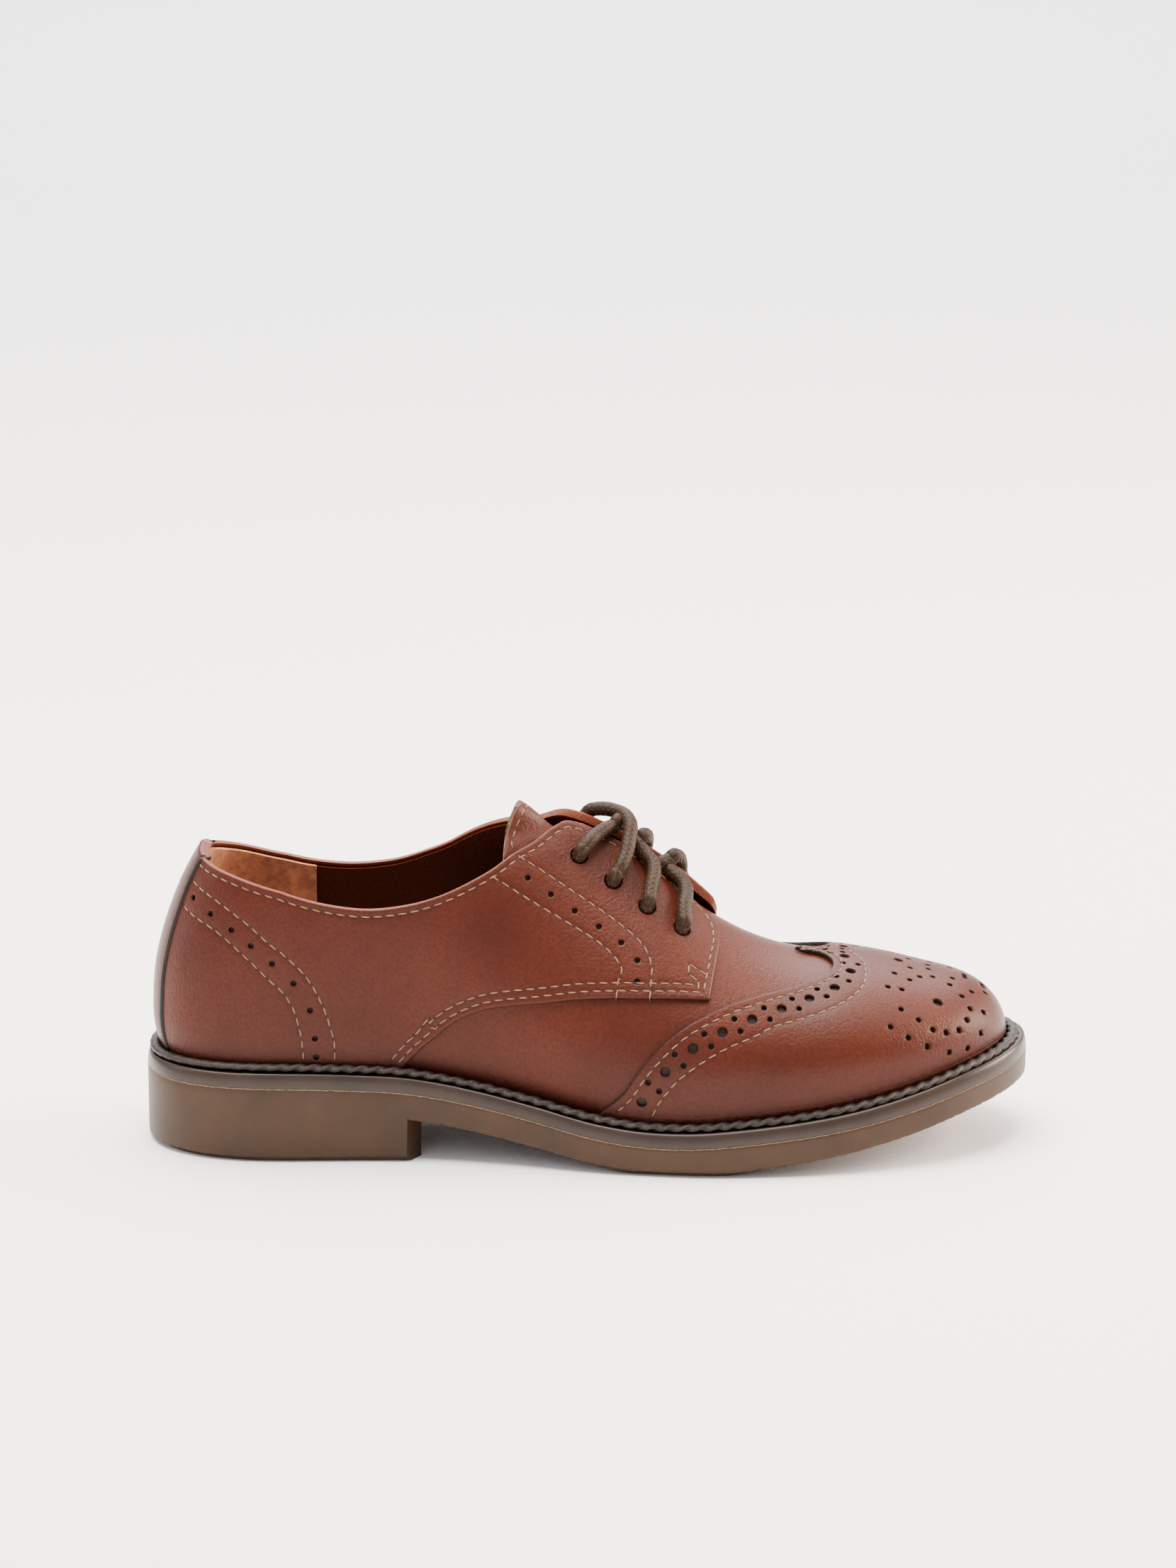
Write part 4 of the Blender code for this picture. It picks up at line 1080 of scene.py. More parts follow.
# Waxed leather welt cord, dark dyed: rough twisted fibres with silvery wax glints
WELT_LEATHER = mottled("waxed_welt_leather", "#130b07", "#20150f", 1.4 * MM, 0.4 * MM,
                       0.3 * MM, {"Roughness": 0.45, "IOR": 1.5, "Specular IOR Level": 0.35})
# Bonded leather piping, almost black
PIPING_LEATHER = mottled("bonded_leather_piping", "#0d0705", "#150d09", 3 * MM, 0.5 * MM,
                         0.04 * MM, {"Roughness": 0.5, "IOR": 1.5, "Specular IOR Level": 0.25})
LACE_COTTON = braided_cotton()
LINING = woven_lining()
# Pigskin sock lining: smooth and matt
SOCK = mottled("pigskin_sock_lining", "#4d2a1a", "#412215", 9 * MM, 0.6 * MM, 0.05 * MM,
               {"Roughness": 0.7, "IOR": 1.5})
# Pale fibres that show where the tongue's lining is cut
FRAYED = mottled("frayed_lining_edge", "#8e8170", "#634e3c", 1.0 * MM, 0.3 * MM, 0.1 * MM,
                 {"Roughness": 0.95, "IOR": 1.46})
# Painted studio paper: pale and matt
PAPER = mottled("studio_paper", "#f1f0f1", "#f2f1f2", 400 * MM, 30 * MM, 0.01 * MM,
                {"Roughness": 0.9, "IOR": 1.45, "Specular IOR Level": 0.2})


def over_both(rows):
    """A line from the outer foot over the ridge to the inner foot, as two curves."""
    rows = np.asarray(rows, float)
    lateral = np.stack([rows[:, 0], rows[:, 1] - 1], 1)
    return lateral, np.stack([rows[::-1, 0], 1 - rows[::-1, 1]], 1)


def front_outline(back, foot, spacing):
    """Outline of a piece that covers the toe, from its back edge to the shoe's tip."""
    lateral, medial = over_both(back)
    edge = 1 - foot
    start = back[0][0]
    sides = [lateral, medial, [(start, edge), (TIP, edge)], [(TIP, edge), (TIP, -edge)],
             [(TIP, -edge), (start, -edge)]]
    return joined(sides, over_toe, spacing)


def add_vamp():
    """The vamp, which shows between wingtip and quarters and runs on under both."""
    back = [(0.262, 0.03), (0.290, 0.12), (0.360, 0.24), (0.450, 0.36), (0.540, 0.46),
            (0.585, 0.56), (0.598, 0.70), (0.600, 0.85), (0.600, 1.00)]
    outline = front_outline(back, 0.012, 1.4 * MM)
    return leather("vamp", outline, [], over_toe, -VAMP_THICKNESS, 0, 1.5 * MM, VAMP_GIRTH, LEATHER)


def wing_punches():
    """Large holes along the wing, a pair of small ones across each gap, and the medallion."""
    large = []
    small = []
    for side in (LATERAL, MEDIAL):
        line = np.concatenate([WING_PUNCHES, [WING_PEAK_PUNCH]])
        line = np.stack([line[:, 0], (1 - line[:, 1]) * side], 1)
        large += line[:-1].tolist()
        large += [(u, (1 - v) * side) for u, v in MEDALLION_LARGE]
        small += [(u, (1 - v) * side) for u, v in MEDALLION_SMALL]
        before = line[0] * 1.5 - line[1] * 0.5
        middle = np.concatenate([[before], (line[1:] + line[:-1]) / 2])
        middle[-1, 0] += 0.003
        middle[-2, 0] += 0.003
        for gap in (-1.85 * MM, 1.85 * MM):
            small += beside(middle, over_toe, gap).tolist()
    large += [(WING_PEAK_PUNCH[0], 0), (MEDALLION_CENTRE[0], 0)]
    small += [(0.906, 0), (0.930, 0)]
    small = [spot for spot in small if abs(spot[1]) < 0.955]
    return ([punch(spot, LARGE_PUNCH, over_toe, 16) for spot in large]
            + [punch(spot, SMALL_PUNCH, over_toe, 12) for spot in small])


def wing_lines():
    """Two rows of stitching: beside the wing's edge and along the front of its holes."""
    lines = []
    lateral, medial = over_both(WING)
    edge = np.concatenate([even(lateral, over_toe, 1 * MM)[:-1], even(medial, over_toe, 1 * MM)])
    lines.append(beside(edge, over_toe, -2.4 * MM))
    lateral, medial = over_both(WING_SEAM)
    lines.append(np.concatenate([even(lateral, over_toe, 1 * MM)[:-1],
                                 even(medial, over_toe, 1 * MM)]))
    return [line[np.abs(line[:, 1]) < 0.968] for line in lines]


def add_toe_cap():
    outline = front_outline(WING, OVERLAY_FOOT, 0.8 * MM)
    holes = wing_punches()
    lines = wing_lines()
    cap = leather("wingtip_leather", outline, holes, over_toe, OVERLAY_LOW, OVERLAY_HIGH, 1.25 * MM,
                  TOE_GIRTH, LEATHER, lines=lines, nodes=("toe_cap",))
    paint(cap, "raw", 1)
    paint(cap, "pucker", 1)
    height = OVERLAY_HIGH - SEAM_DEPTH
    add_stitches("wingtip", [(line, over_toe, height) for line in lines], THREAD, NEEDLE_SHADE)
    back = np.array(WING)
    back[:, 0] += 0.012
    under = front_outline(back, 0.03, 2 * MM)
    leather("wingtip_backing", under, [], over_toe, BACKING_LOW, BACKING_HIGH, 3 * MM,
            TOE_GIRTH, BACKING, radius=0.05 * MM)


def paint(piece, key, values):
    """Give every point of a piece a number that its material reads."""
    mesh = piece.data
    layer = mesh.attributes.get(key) or mesh.attributes.new(key, "FLOAT", "POINT")
    layer.data.foreach_set("value", np.broadcast_to(
        np.asarray(values, np.float32), len(mesh.vertices)).copy())


def points_of(piece):
    co = np.empty(len(piece.data.vertices) * 3, np.float32)
    piece.data.vertices.foreach_get("co", co)
    return co.reshape(-1, 3)


def collar_rows(side, start, end, drop=0.0):
    """The collar's edge between two lengths, lowered by a share of climb."""
    column = 1 if side == LATERAL else 2
    length = np.linspace(start, end, 34)
    return np.stack([length, smooth(COLLAR, column, length) - drop], 1)


def add_quarter(side):
    name = "quarter_lateral" if side == LATERAL else "quarter_medial"
    place = on_side(side)
    collar = collar_rows(side, QUARTER_BACK, 0.490)
    foot = OVERLAY_FOOT
    sides = [collar, FACING, QUARTER_LOWER, [tuple(QUARTER_LOWER[-1]), (QUARTER_BACK, foot)],
             [(QUARTER_BACK, foot), tuple(collar[0])]]
    outline = joined(sides, place, 0.8 * MM)
    holes = [punch(spot, EYELET_DIAMETER, place, 24) for spot in EYELETS]
    holes += [punch(spot, SMALL_PUNCH, place, 12) for spot in BAND_PUNCHES + COUNTER_PUNCHES]
    collar_line = beside(even(collar, place, 1 * MM), place, -2.0 * MM)
    facing_line = beside(even(FACING, place, 1 * MM), place, -2.0 * MM)
    lower = even(QUARTER_LOWER, place, 1 * MM)
    lines = [np.concatenate([collar_line[:-3], facing_line[4:-2]]),
             beside(lower, place, -2.0 * MM)[2:-1], beside(lower, place, -4.1 * MM)[4:-1],
             even(BAND_REAR, place, 1 * MM), even(BAND_FRONT, place, 1 * MM),
             even(COUNTER_FRONT, place, 1 * MM), even(COUNTER_REAR, place, 1 * MM)]
    lines += [even(TACK_BOX[k:k + 2], place, 0.6 * MM) for k in range(len(TACK_BOX) - 1)]
    column = 1 if side == LATERAL else 2

    def top(*place_of):
        return OVERLAY_HIGH + facing_lift(*place_of)

    def under(*place_of):
        return OVERLAY_LOW + 0.6 * facing_lift(*place_of)

    def fold(edge, length, climb, sign):
        """The leather turns in over the collar: its underside drops towards the edge."""
        depth = (smooth(COLLAR, column, length) - climb) * 90 * MM
        return 0.85 * MM * ease(1 - depth / (5 * MM)) * ease((0.47 - length) / 0.03)

    quarter = leather(f"{name}_leather", outline, holes, place, under, top, 1.25 * MM, SIDE_GIRTH,
                      LEATHER, lines=lines, nodes=(name,), lowering=fold,
                      radius=0.7 * MM, relief=quarter_relief)
    ground = points_of(quarter)
    low_line = on_last(*place(*lower.T), 0)
    paint(quarter, "raw", ease(1.6 - distance(ground, low_line, closed=False) / (1.5 * MM)))
    runs = [(line, place, lambda *p: top(*p) - SEAM_DEPTH) for line in lines]
    add_stitches(name, runs, THREAD, NEEDLE_SHADE)
    counter = [[(0.056, 0.035), (0.225, 0.035)],
               [(0.225, 0.035), (0.225, 0.20), (0.18, 0.33), (0.12, 0.45), (0.056, 0.49)],
               [(0.056, 0.49), (0.056, 0.035)]]
    band = [[(0.415, 0.63), (0.43, 0.67)],
            [(0.43, 0.67), (0.50, 0.615), (0.545, 0.585), (0.568, 0.53), (0.566, 0.43)],
            [(0.566, 0.43), (0.54, 0.42)],
            [(0.54, 0.42), (0.535, 0.50), (0.48, 0.57), (0.415, 0.63)]]
    for tag, loops in (("counter", counter), ("band", band)):
        patch = joined(loops, place, 2 * MM)
        leather(f"{name}_{tag}_backing", patch, [], place, BACKING_LOW, BACKING_HIGH, 3 * MM,
                SIDE_GIRTH, BACKING, radius=0.05 * MM)


def quarter_relief(length, climb, sign):
    """Soft unevenness of leather over the counter's edge and the quarter's waist: low broad waves.
    """
    waist = np.exp(-((length - 0.30) / 0.05) ** 2 - ((climb - 0.25) / 0.16) ** 2)
    stiff = np.exp(-((length - 0.232) / 0.016) ** 2) * ease((0.40 - climb) / 0.2)
    return -0.35 * MM * waist - 0.12 * MM * stiff


def add_heel_strip():
    place = round_heel
    foot = OVERLAY_FOOT
    edge = STRIP_EDGE
    lateral = collar_rows(LATERAL, 0, edge)
    medial = collar_rows(MEDIAL, 0, edge)
    top = np.concatenate([medial[::-1], np.stack([-lateral[1:, 0], lateral[1:, 1]], 1)])
    top[:, 1] += 0.004
    sides = [[(-edge, foot), (edge, foot)], [(edge, foot), tuple(top[0])], top,
             [tuple(top[-1]), (-edge, foot)]]
    outline = joined(sides, place, 0.8 * MM)

    def fold(edge_gap, length, climb, sign):
        """The strip turns in over the collar at its top."""
        return 1.6 * MM * ease((climb - 0.50) / 0.05)

    strip = leather("heel_strip_leather", outline, [], place, OVERLAY_LOW, OVERLAY_HIGH + 0.1 * MM,
                    1.2 * MM, HEEL_GIRTH, LEATHER, radius=0.8 * MM, lowering=fold,
                    nodes=("heel_strip",))
    paint(strip, "raw", 0.2)


def add_tube(name, path, up, radius, sides, material, nodes=()):
    """A round bar along a path, with domed ends; its rings start at right angles to up."""
    flow = unit(np.gradient(path, axis=0))
    across = unit(np.cross(flow, up))
    normal = np.cross(across, flow)
    turn = np.arange(sides) / sides * math.tau
    reach = np.minimum(np.arange(len(path)), np.arange(len(path))[::-1])
    size = radius * np.sqrt(np.clip(reach / 3, 0.05, 1))
    ring = (across[:, None] * np.cos(turn)[:, None]
            + normal[:, None] * np.sin(turn)[:, None])
    points = path[:, None] + ring * size[:, None, None]
    faces = grid_faces(len(path), sides, wrap_columns=True, caps=True)
    piece = add_mesh(name, points, faces, material, sharp=80, nodes=nodes)
    outward(piece)
    return piece


def add_piping(side):
    """Cord in a leather casing between heel strip and quarter, turned in over the collar."""
    name = "piping_lateral" if side == LATERAL else "piping_medial"
    column = 1 if side == LATERAL else 2
    top = smooth(COLLAR, column, PIPING_LINE)
    climb = np.linspace(OVERLAY_FOOT, top + 0.010, 90)
    over = ease((climb - top + 0.012) / 0.022)
    height = 1.15 * MM - over * 2.1 * MM
    path = on_last(PIPING_LINE + 0 * climb, climb, side, height)
    up = last_normals(PIPING_LINE + 0 * climb, climb, side + 0 * climb)
    add_tube(f"{name}_casing", path, up, PIPING_RADIUS, 12, PIPING_LEATHER,
             nodes=(name,))


def facing_lift(length, climb, sign):
    """How far a facing stands off the last: the outer one at its top, the inner one all along."""
    rear = ease((length - LIFT_REAR) / LIFT_RUN)
    outer = FACING_LIFT[LATERAL] * ease((LIFT_FRONT - length) / LIFT_RUN)
    rise = ease((climb - LIFT_CLIMB) / (FACING[0, 1] - LIFT_CLIMB))
    return rear * rise * np.where(sign < 0, outer, FACING_LIFT[MEDIAL])


def tongue_flare(length, climb):
    """How far the tongue's free end stands out between the collar's two edges."""
    shell = np.maximum(smooth(COLLAR, 1, length), smooth(COLLAR, 2, length))
    ridge = ease((climb - shell - FLARE_MARGIN) / FLARE_CLIMB)
    return TONGUE_FLARE * ease((FLARE_FRONT - length) / FLARE_RUN) * ridge


def tongue_outline(grow, spacing):
    lateral, medial = over_both(TONGUE + np.array([0, -grow]))
    rear = TONGUE[0]
    side = 1 - rear[1] + grow
    end = [(rear[0], side), (rear[0] + 0.002, side * 0.75), (rear[0] + 0.007, side * 0.38),
           (rear[0] + 0.012, 0), (rear[0] + 0.007, -side * 0.38),
           (rear[0] + 0.002, -side * 0.75), (rear[0], -side)]
    front = 1 - TONGUE[-1, 1] + grow
    sides = [lateral, [(0.625, -front), (0.625, front)], medial, end]
    return joined(sides, over_toe, spacing)


def add_tongue():
    """Leather tongue with a stitched edge, over a dark lining whose cut edge has frayed."""
    outline = tongue_outline(0.0, 0.8 * MM)
    rows = [(0.60, -0.175), (0.56, -0.205), (0.50, -0.235), (0.44, -0.258), (0.424, -0.262),
            (0.419, -0.245), (0.420, -0.18), (0.425, -0.09), (0.430, 0.0), (0.425, 0.09),
            (0.420, 0.18), (0.419, 0.245), (0.424, 0.262), (0.44, 0.258), (0.50, 0.235),
            (0.56, 0.205), (0.60, 0.175)]
    line = even(rows, over_toe, 1 * MM)

    def top(length, climb, sign):
        return -TONGUE_DEPTH + tongue_flare(length, climb)

    def under(length, climb, sign):
        return top(length, climb, sign) - TONGUE_THICKNESS

    piece = leather("tongue_leather", outline, [], over_toe, under, top, 1.5 * MM, THROAT_GIRTH,
                    LEATHER, lines=[line], nodes=("tongue",), radius=0.6 * MM)
    paint(piece, "raw", 0.35)
    add_stitches("tongue", [(line, over_toe, lambda *p: top(*p) - SEAM_DEPTH)], THREAD,
                 NEEDLE_SHADE)
    leather("tongue_lining", tongue_outline(0.004, 1 * MM), [], over_toe,
            lambda *p: top(*p) - 2.0 * MM, lambda *p: top(*p) - 1.32 * MM, 2 * MM,
            THROAT_GIRTH, FRAYED, radius=0.2 * MM)


def add_linings():
    """Cotton lining on each side and a suede heel grip, turned up against the folded collar."""
    for side, name in ((LATERAL, "lining_lateral"), (MEDIAL, "lining_medial")):
        place = on_side(side)
        top = collar_rows(side, LINING_REAR, 0.455, 0.012)
        foot = [(0.425, LINING_FOOT), (LINING_REAR, LINING_FOOT)]
        sides = [top, [tuple(top[-1]), (0.475, 0.62), (0.450, 0.35), foot[0]], foot,
                 [foot[1], tuple(top[0])]]
        outline = joined(sides, place, 1.2 * MM)
        piece = leather(name, outline, [], place, LINING_UNDER, LINING_TOP, 2 * MM, SIDE_GIRTH,
                        LINING, radius=0.25 * MM)
        ground = points_of(piece)
        paint(piece, "along_mm", ground[:, 0] / MM)
        paint(piece, "up_mm", ground[:, 2] / MM)
    lateral = collar_rows(LATERAL, 0, GRIP_FRONT, 0.010)
    medial = collar_rows(MEDIAL, 0, GRIP_FRONT, 0.010)
    top = np.concatenate([medial[::-1], np.stack([-lateral[1:, 0], lateral[1:, 1]], 1)])
    foot = [(-GRIP_FRONT, LINING_FOOT), (GRIP_FRONT, LINING_FOOT)]
    sides = [foot, [foot[1], tuple(top[0])], top, [tuple(top[-1]), foot[0]]]
    outline = joined(sides, round_heel, 1.2 * MM)
    leather("heel_grip", outline, [], round_heel, GRIP_UNDER, LINING_TOP, 1.8 * MM, HEEL_GIRTH,
            SUEDE, radius=0.5 * MM)


def add_insole():
    """The sock: a pad whose edge turns up a little against the lining."""
    half = np.concatenate([TIP - (TIP - TOE_MAP) * np.linspace(0, 1, 30) ** 1.4,
                           np.linspace(TOE_MAP, 0.158, 90)[1:], np.linspace(0.158, 0, 30)[1:]])
    gap = -UPPER_WALL - CLEARANCE - 0.4 * MM
    lateral = on_last(half, 0.01, LATERAL, gap)
    medial = on_last(half, 0.01, MEDIAL, gap)
    share = np.sin(np.linspace(-1, 1, 21) * math.pi / 2)
    points = (lateral[:, None] * (1 - share)[:, None] + medial[:, None] * (1 + share)[:, None]) / 2
    rise = rim_height(points[..., 0] + ORIGIN[0])
    cup = 0.5 * MM * share**6
    top = points.copy()
    top[..., 2] = rise + 2.9 * MM + cup
    under = points.copy()
    under[..., 2] = rise + 0.5 * MM
    rings = np.concatenate([top, under[:, ::-1]], 1)
    faces = grid_faces(len(half), rings.shape[1], wrap_columns=True, caps=True)
    piece = add_mesh("sock_lining", rings, faces, SOCK, sharp=50, nodes=("insole",))
    outward(piece)


def around(count):
    """Length and side along the last's plan, from the toe's tip round the heel and back."""
    half = np.concatenate([
        TOE_MAP + (TIP - TOE_MAP) * np.linspace(1, 0, count // 3, endpoint=False),
        np.linspace(TOE_MAP, HEEL_CENTRE / SOLE_LENGTH, count // 2, endpoint=False),
        np.linspace(HEEL_CENTRE / SOLE_LENGTH, 0, count // 5, endpoint=False)])
    length = np.concatenate([half, [0], half[::-1]])
    sign = np.concatenate([np.full(len(half) + 1, LATERAL), np.full(len(half), MEDIAL)])
    return length, sign


def even_loop(points, spacing):
    """A closed line resampled at one spacing."""
    closed = np.concatenate([points, points[:1]])
    run = np.concatenate([[0], np.cumsum(np.linalg.norm(np.diff(closed, axis=0), axis=1))])
    count = int(run[-1] / spacing)
    at = np.arange(count) / count * run[-1]
    return np.stack([np.interp(at, run, closed[:, k]) for k in range(3)], 1), at


def add_welt():
    """Twisted cord in the channel round the upper's foot.

    Its radius is that of a two-ply rope, 1 + 0.2 cos(2 angle - turn along the cord), roughened by
    uneven waves; round the heel it is pressed flat.
    """
    length, sign = around(600)
    outward_flow = last_normals(length, ROPE_CLIMB, sign)
    outward_flow[:, 2] = 0
    spread = np.linalg.norm(outward_flow, axis=1, keepdims=True)
    reach = OVERLAY_HIGH + 1.60 * MM
    centre = last_points(length, ROPE_CLIMB, sign) + outward_flow / spread**2 * reach - ORIGIN
    centre, at = even_loop(centre, 0.42 * MM)
    x = centre[:, 0] + ORIGIN[0]
    centre[:, 2] = rim_height(x) + 1.02 * MM
    flow = np.roll(centre, -1, 0) - np.roll(centre, 1, 0)
    flow[:, 2] = 0
    across = unit(np.cross(flow, [0, 0, 1.0]))
    sides = 22
    turn = np.arange(sides) / sides * math.tau
    total = at[-1] + at[1]
    twists = round(total / ROPE_LAY)
    rope = 0.17 * ease((x - 25 * MM) / (25 * MM)) + 0.05
    ply = np.cos(2 * turn[None] - at[:, None] / total * math.tau * twists * 2)
    strands = np.cos(9 * turn[None] - at[:, None] / total * math.tau * twists * 4.5)
    rough = wobble(at[:, None] + turn[None] * 3.1 * MM, 5, 2.3 * MM, 4)
    size = 1 + rope[:, None] * ply + 0.06 * strands + 0.10 * rough
    wide = ROPE_HALF_WIDTH * np.cos(turn)
    tall = ROPE_HALF_HEIGHT * np.sin(turn)
    points = (centre[:, None] + across[:, None] * (wide * size)[..., None]
              + np.array([0, 0, 1.0]) * (tall * size)[..., None])
    faces = grid_faces(len(centre), sides, wrap_rows=True, wrap_columns=True)
    piece = add_mesh("twisted_welt_cord", points, faces, WELT_LEATHER, sharp=75,
                     nodes=("storm_welt",))
    outward(piece)


def sole_rings(stations, levels, slant=0):
    """Closed rings across the sole, which may slant back on the inner side.

    levels(x) lists (inset, height) up the side, for stations that lie at x.
    """
    rings = []
    for side in (LATERAL, MEDIAL):
        along = stations - slant * (side == MEDIAL)
        for inset, z in levels(along)[::-side]:
            x = inset + along * (1 - 2 * inset / SOLE_LENGTH)
            half = sole_half_width(along, side) * (1 - 2 * inset / BALL_WIDTH)
            rings.append(np.stack([x, swing(along) + side * half, z + 0 * along], -1))
    return np.stack(rings, 1) - ORIGIN


def sole_stations(pitch):
    """Lengths along the sole, close together where the outline turns."""
    turn = np.linspace(0, math.pi / 2, 46)
    heel = HEEL_CENTRE * (1 - np.cos(turn))
    toe_start = TOE_CURVE[LATERAL][0] * SOLE_LENGTH
    turn = np.linspace(0, math.pi / 2, 100)
    toe = toe_start + (SOLE_LENGTH - toe_start) * np.sin(turn)
    middle = np.arange(HEEL_CENTRE + pitch, toe_start - pitch / 2, pitch)
    return np.concatenate([heel, middle, toe])


def add_outsole():
    """Gum sole: upright side with a torn lower edge, recessed tread and the step of the heel.

    The torn edge is a rounding whose inset and lift follow uneven waves along the sole.
    """
    stations = sole_stations(0.7 * MM)
    stations = stations[np.abs(stations - HEEL_BREAST) > 0.45 * MM]
    breast = HEEL_BREAST + np.array([-0.3, -0.05, 0.0, 0.2, 0.5]) * MM
    stations = np.sort(np.concatenate([stations, breast]))
    on_heel = stations <= HEEL_BREAST
    slant = BREAST_SLANT * ease(1 - np.abs(stations - HEEL_BREAST) / (HEEL_CENTRE / 2))
    run = np.concatenate([[0], np.cumsum(np.hypot(
        np.diff(stations), np.diff(sole_half_width(stations, LATERAL))))])
    chip = np.clip(wobble(run, 3, 5.1 * MM, 4) - 0.12, 0, 1) * 2.2
    nick = np.clip(wobble(run, 9, 1.9 * MM, 3), 0, 1) * 0.8
    torn = (chip + nick) * MM
    lift = 0.36 * torn

    def levels(x):
        foot = np.where(on_heel, TREAD_HEIGHT, side_foot(x))
        tread = np.where(on_heel, 0, tread_height(x))
        high = rim_height(x) - MIDSOLE_THICKNESS
        side = [(0.0, foot + share * (high - foot) + rise * MM)
                for share, rise in ((0.10, 0.5), (0.35, 0.2), (0.62, 0), (0.86, 0))]
        return [(9 * MM, tread), (TREAD_INSET + 0.5 * MM, tread), (TREAD_INSET, tread + 0.3 * MM),
                (TREAD_INSET, foot), (0.75 * MM + 0.2 * torn, foot),
                (0.30 * MM + 0.35 * torn, foot + 0.18 * MM + lift * 0.5),
                (0.08 * MM + 0.25 * torn, foot + 0.45 * MM + lift), *side,
                (0.03 * MM, high - 0.3 * MM), (0.15 * MM, high)]

    rings = sole_rings(stations, levels, slant)
    faces = grid_faces(len(stations), rings.shape[1], wrap_columns=True, caps=True)
    piece = add_mesh("gum_sole", rings, faces, GUM_RUBBER, sharp=45,
                     nodes=("outsole",))
    outward(piece)


def add_midsole():
    """Taupe strip with a soft bevel, whose lip stands a little above the cord's channel."""
    stations = sole_stations(0.9 * MM)

    def levels(x):
        high = rim_height(x)
        low = high - MIDSOLE_THICKNESS
        profile = [(0.25, 0), (0.06, 0.03), (0, 0.10), (0.05, 0.35), (0.18, 0.60), (0.40, 0.80),
                   (0.72, 0.94), (1.10, 1), (1.5, 0.985), (1.9, 0.94), (3.0, 0.93), (7, 0.93)]
        return [(inset * MM, low + share * (high - low)) for inset, share in profile]

    rings = sole_rings(stations, levels)
    faces = grid_faces(len(stations), rings.shape[1], wrap_columns=True, caps=True)
    piece = add_mesh("taupe_midsole", rings, faces, TAUPE_RUBBER, sharp=50,
                     nodes=("midsole",))
    outward(piece)


def add_flash():
    """Thin ragged line of mould flash along the joint of midsole and gum."""
    stations = sole_stations(0.5 * MM)
    height = rim_height(stations) - MIDSOLE_THICKNESS
    loops = []
    for side in (LATERAL, MEDIAL):
        half = sole_half_width(stations, side)
        loops.append(np.stack([stations, swing(stations) + side * half, height], 1))
    path = np.concatenate([loops[0], loops[1][::-1][1:-1]]) - ORIGIN
    path, at = even_loop(path, 0.4 * MM)
    flow = np.roll(path, -1, 0) - np.roll(path, 1, 0)
    flow[:, 2] = 0
    across = unit(np.cross(flow, [0, 0, 1.0]))
    across *= np.sign((path * across).sum(-1, keepdims=True))
    size = (0.12 + 0.10 * wobble(at, 21, 3.1 * MM, 4) + 0.06 * wobble(at, 22, 0.9 * MM, 2)) * MM
    size = np.maximum(size, 0.05 * MM)
    sides = 6
    turn = np.arange(sides) / sides * math.tau
    sag = 0.12 * MM * wobble(at, 31, 6 * MM, 3)
    centre = path - across * 0.08 * MM
    centre[:, 2] += sag
    points = (centre[:, None] + across[:, None] * (np.cos(turn) * size[:, None] * 1.15)[..., None]
              + np.array([0, 0, 1.0]) * (np.sin(turn) * size[:, None])[..., None])
    faces = grid_faces(len(path), sides, wrap_rows=True, wrap_columns=True)
    piece = add_mesh("mould_flash", points, faces, FLASH_RUBBER, sharp=80)
    outward(piece)


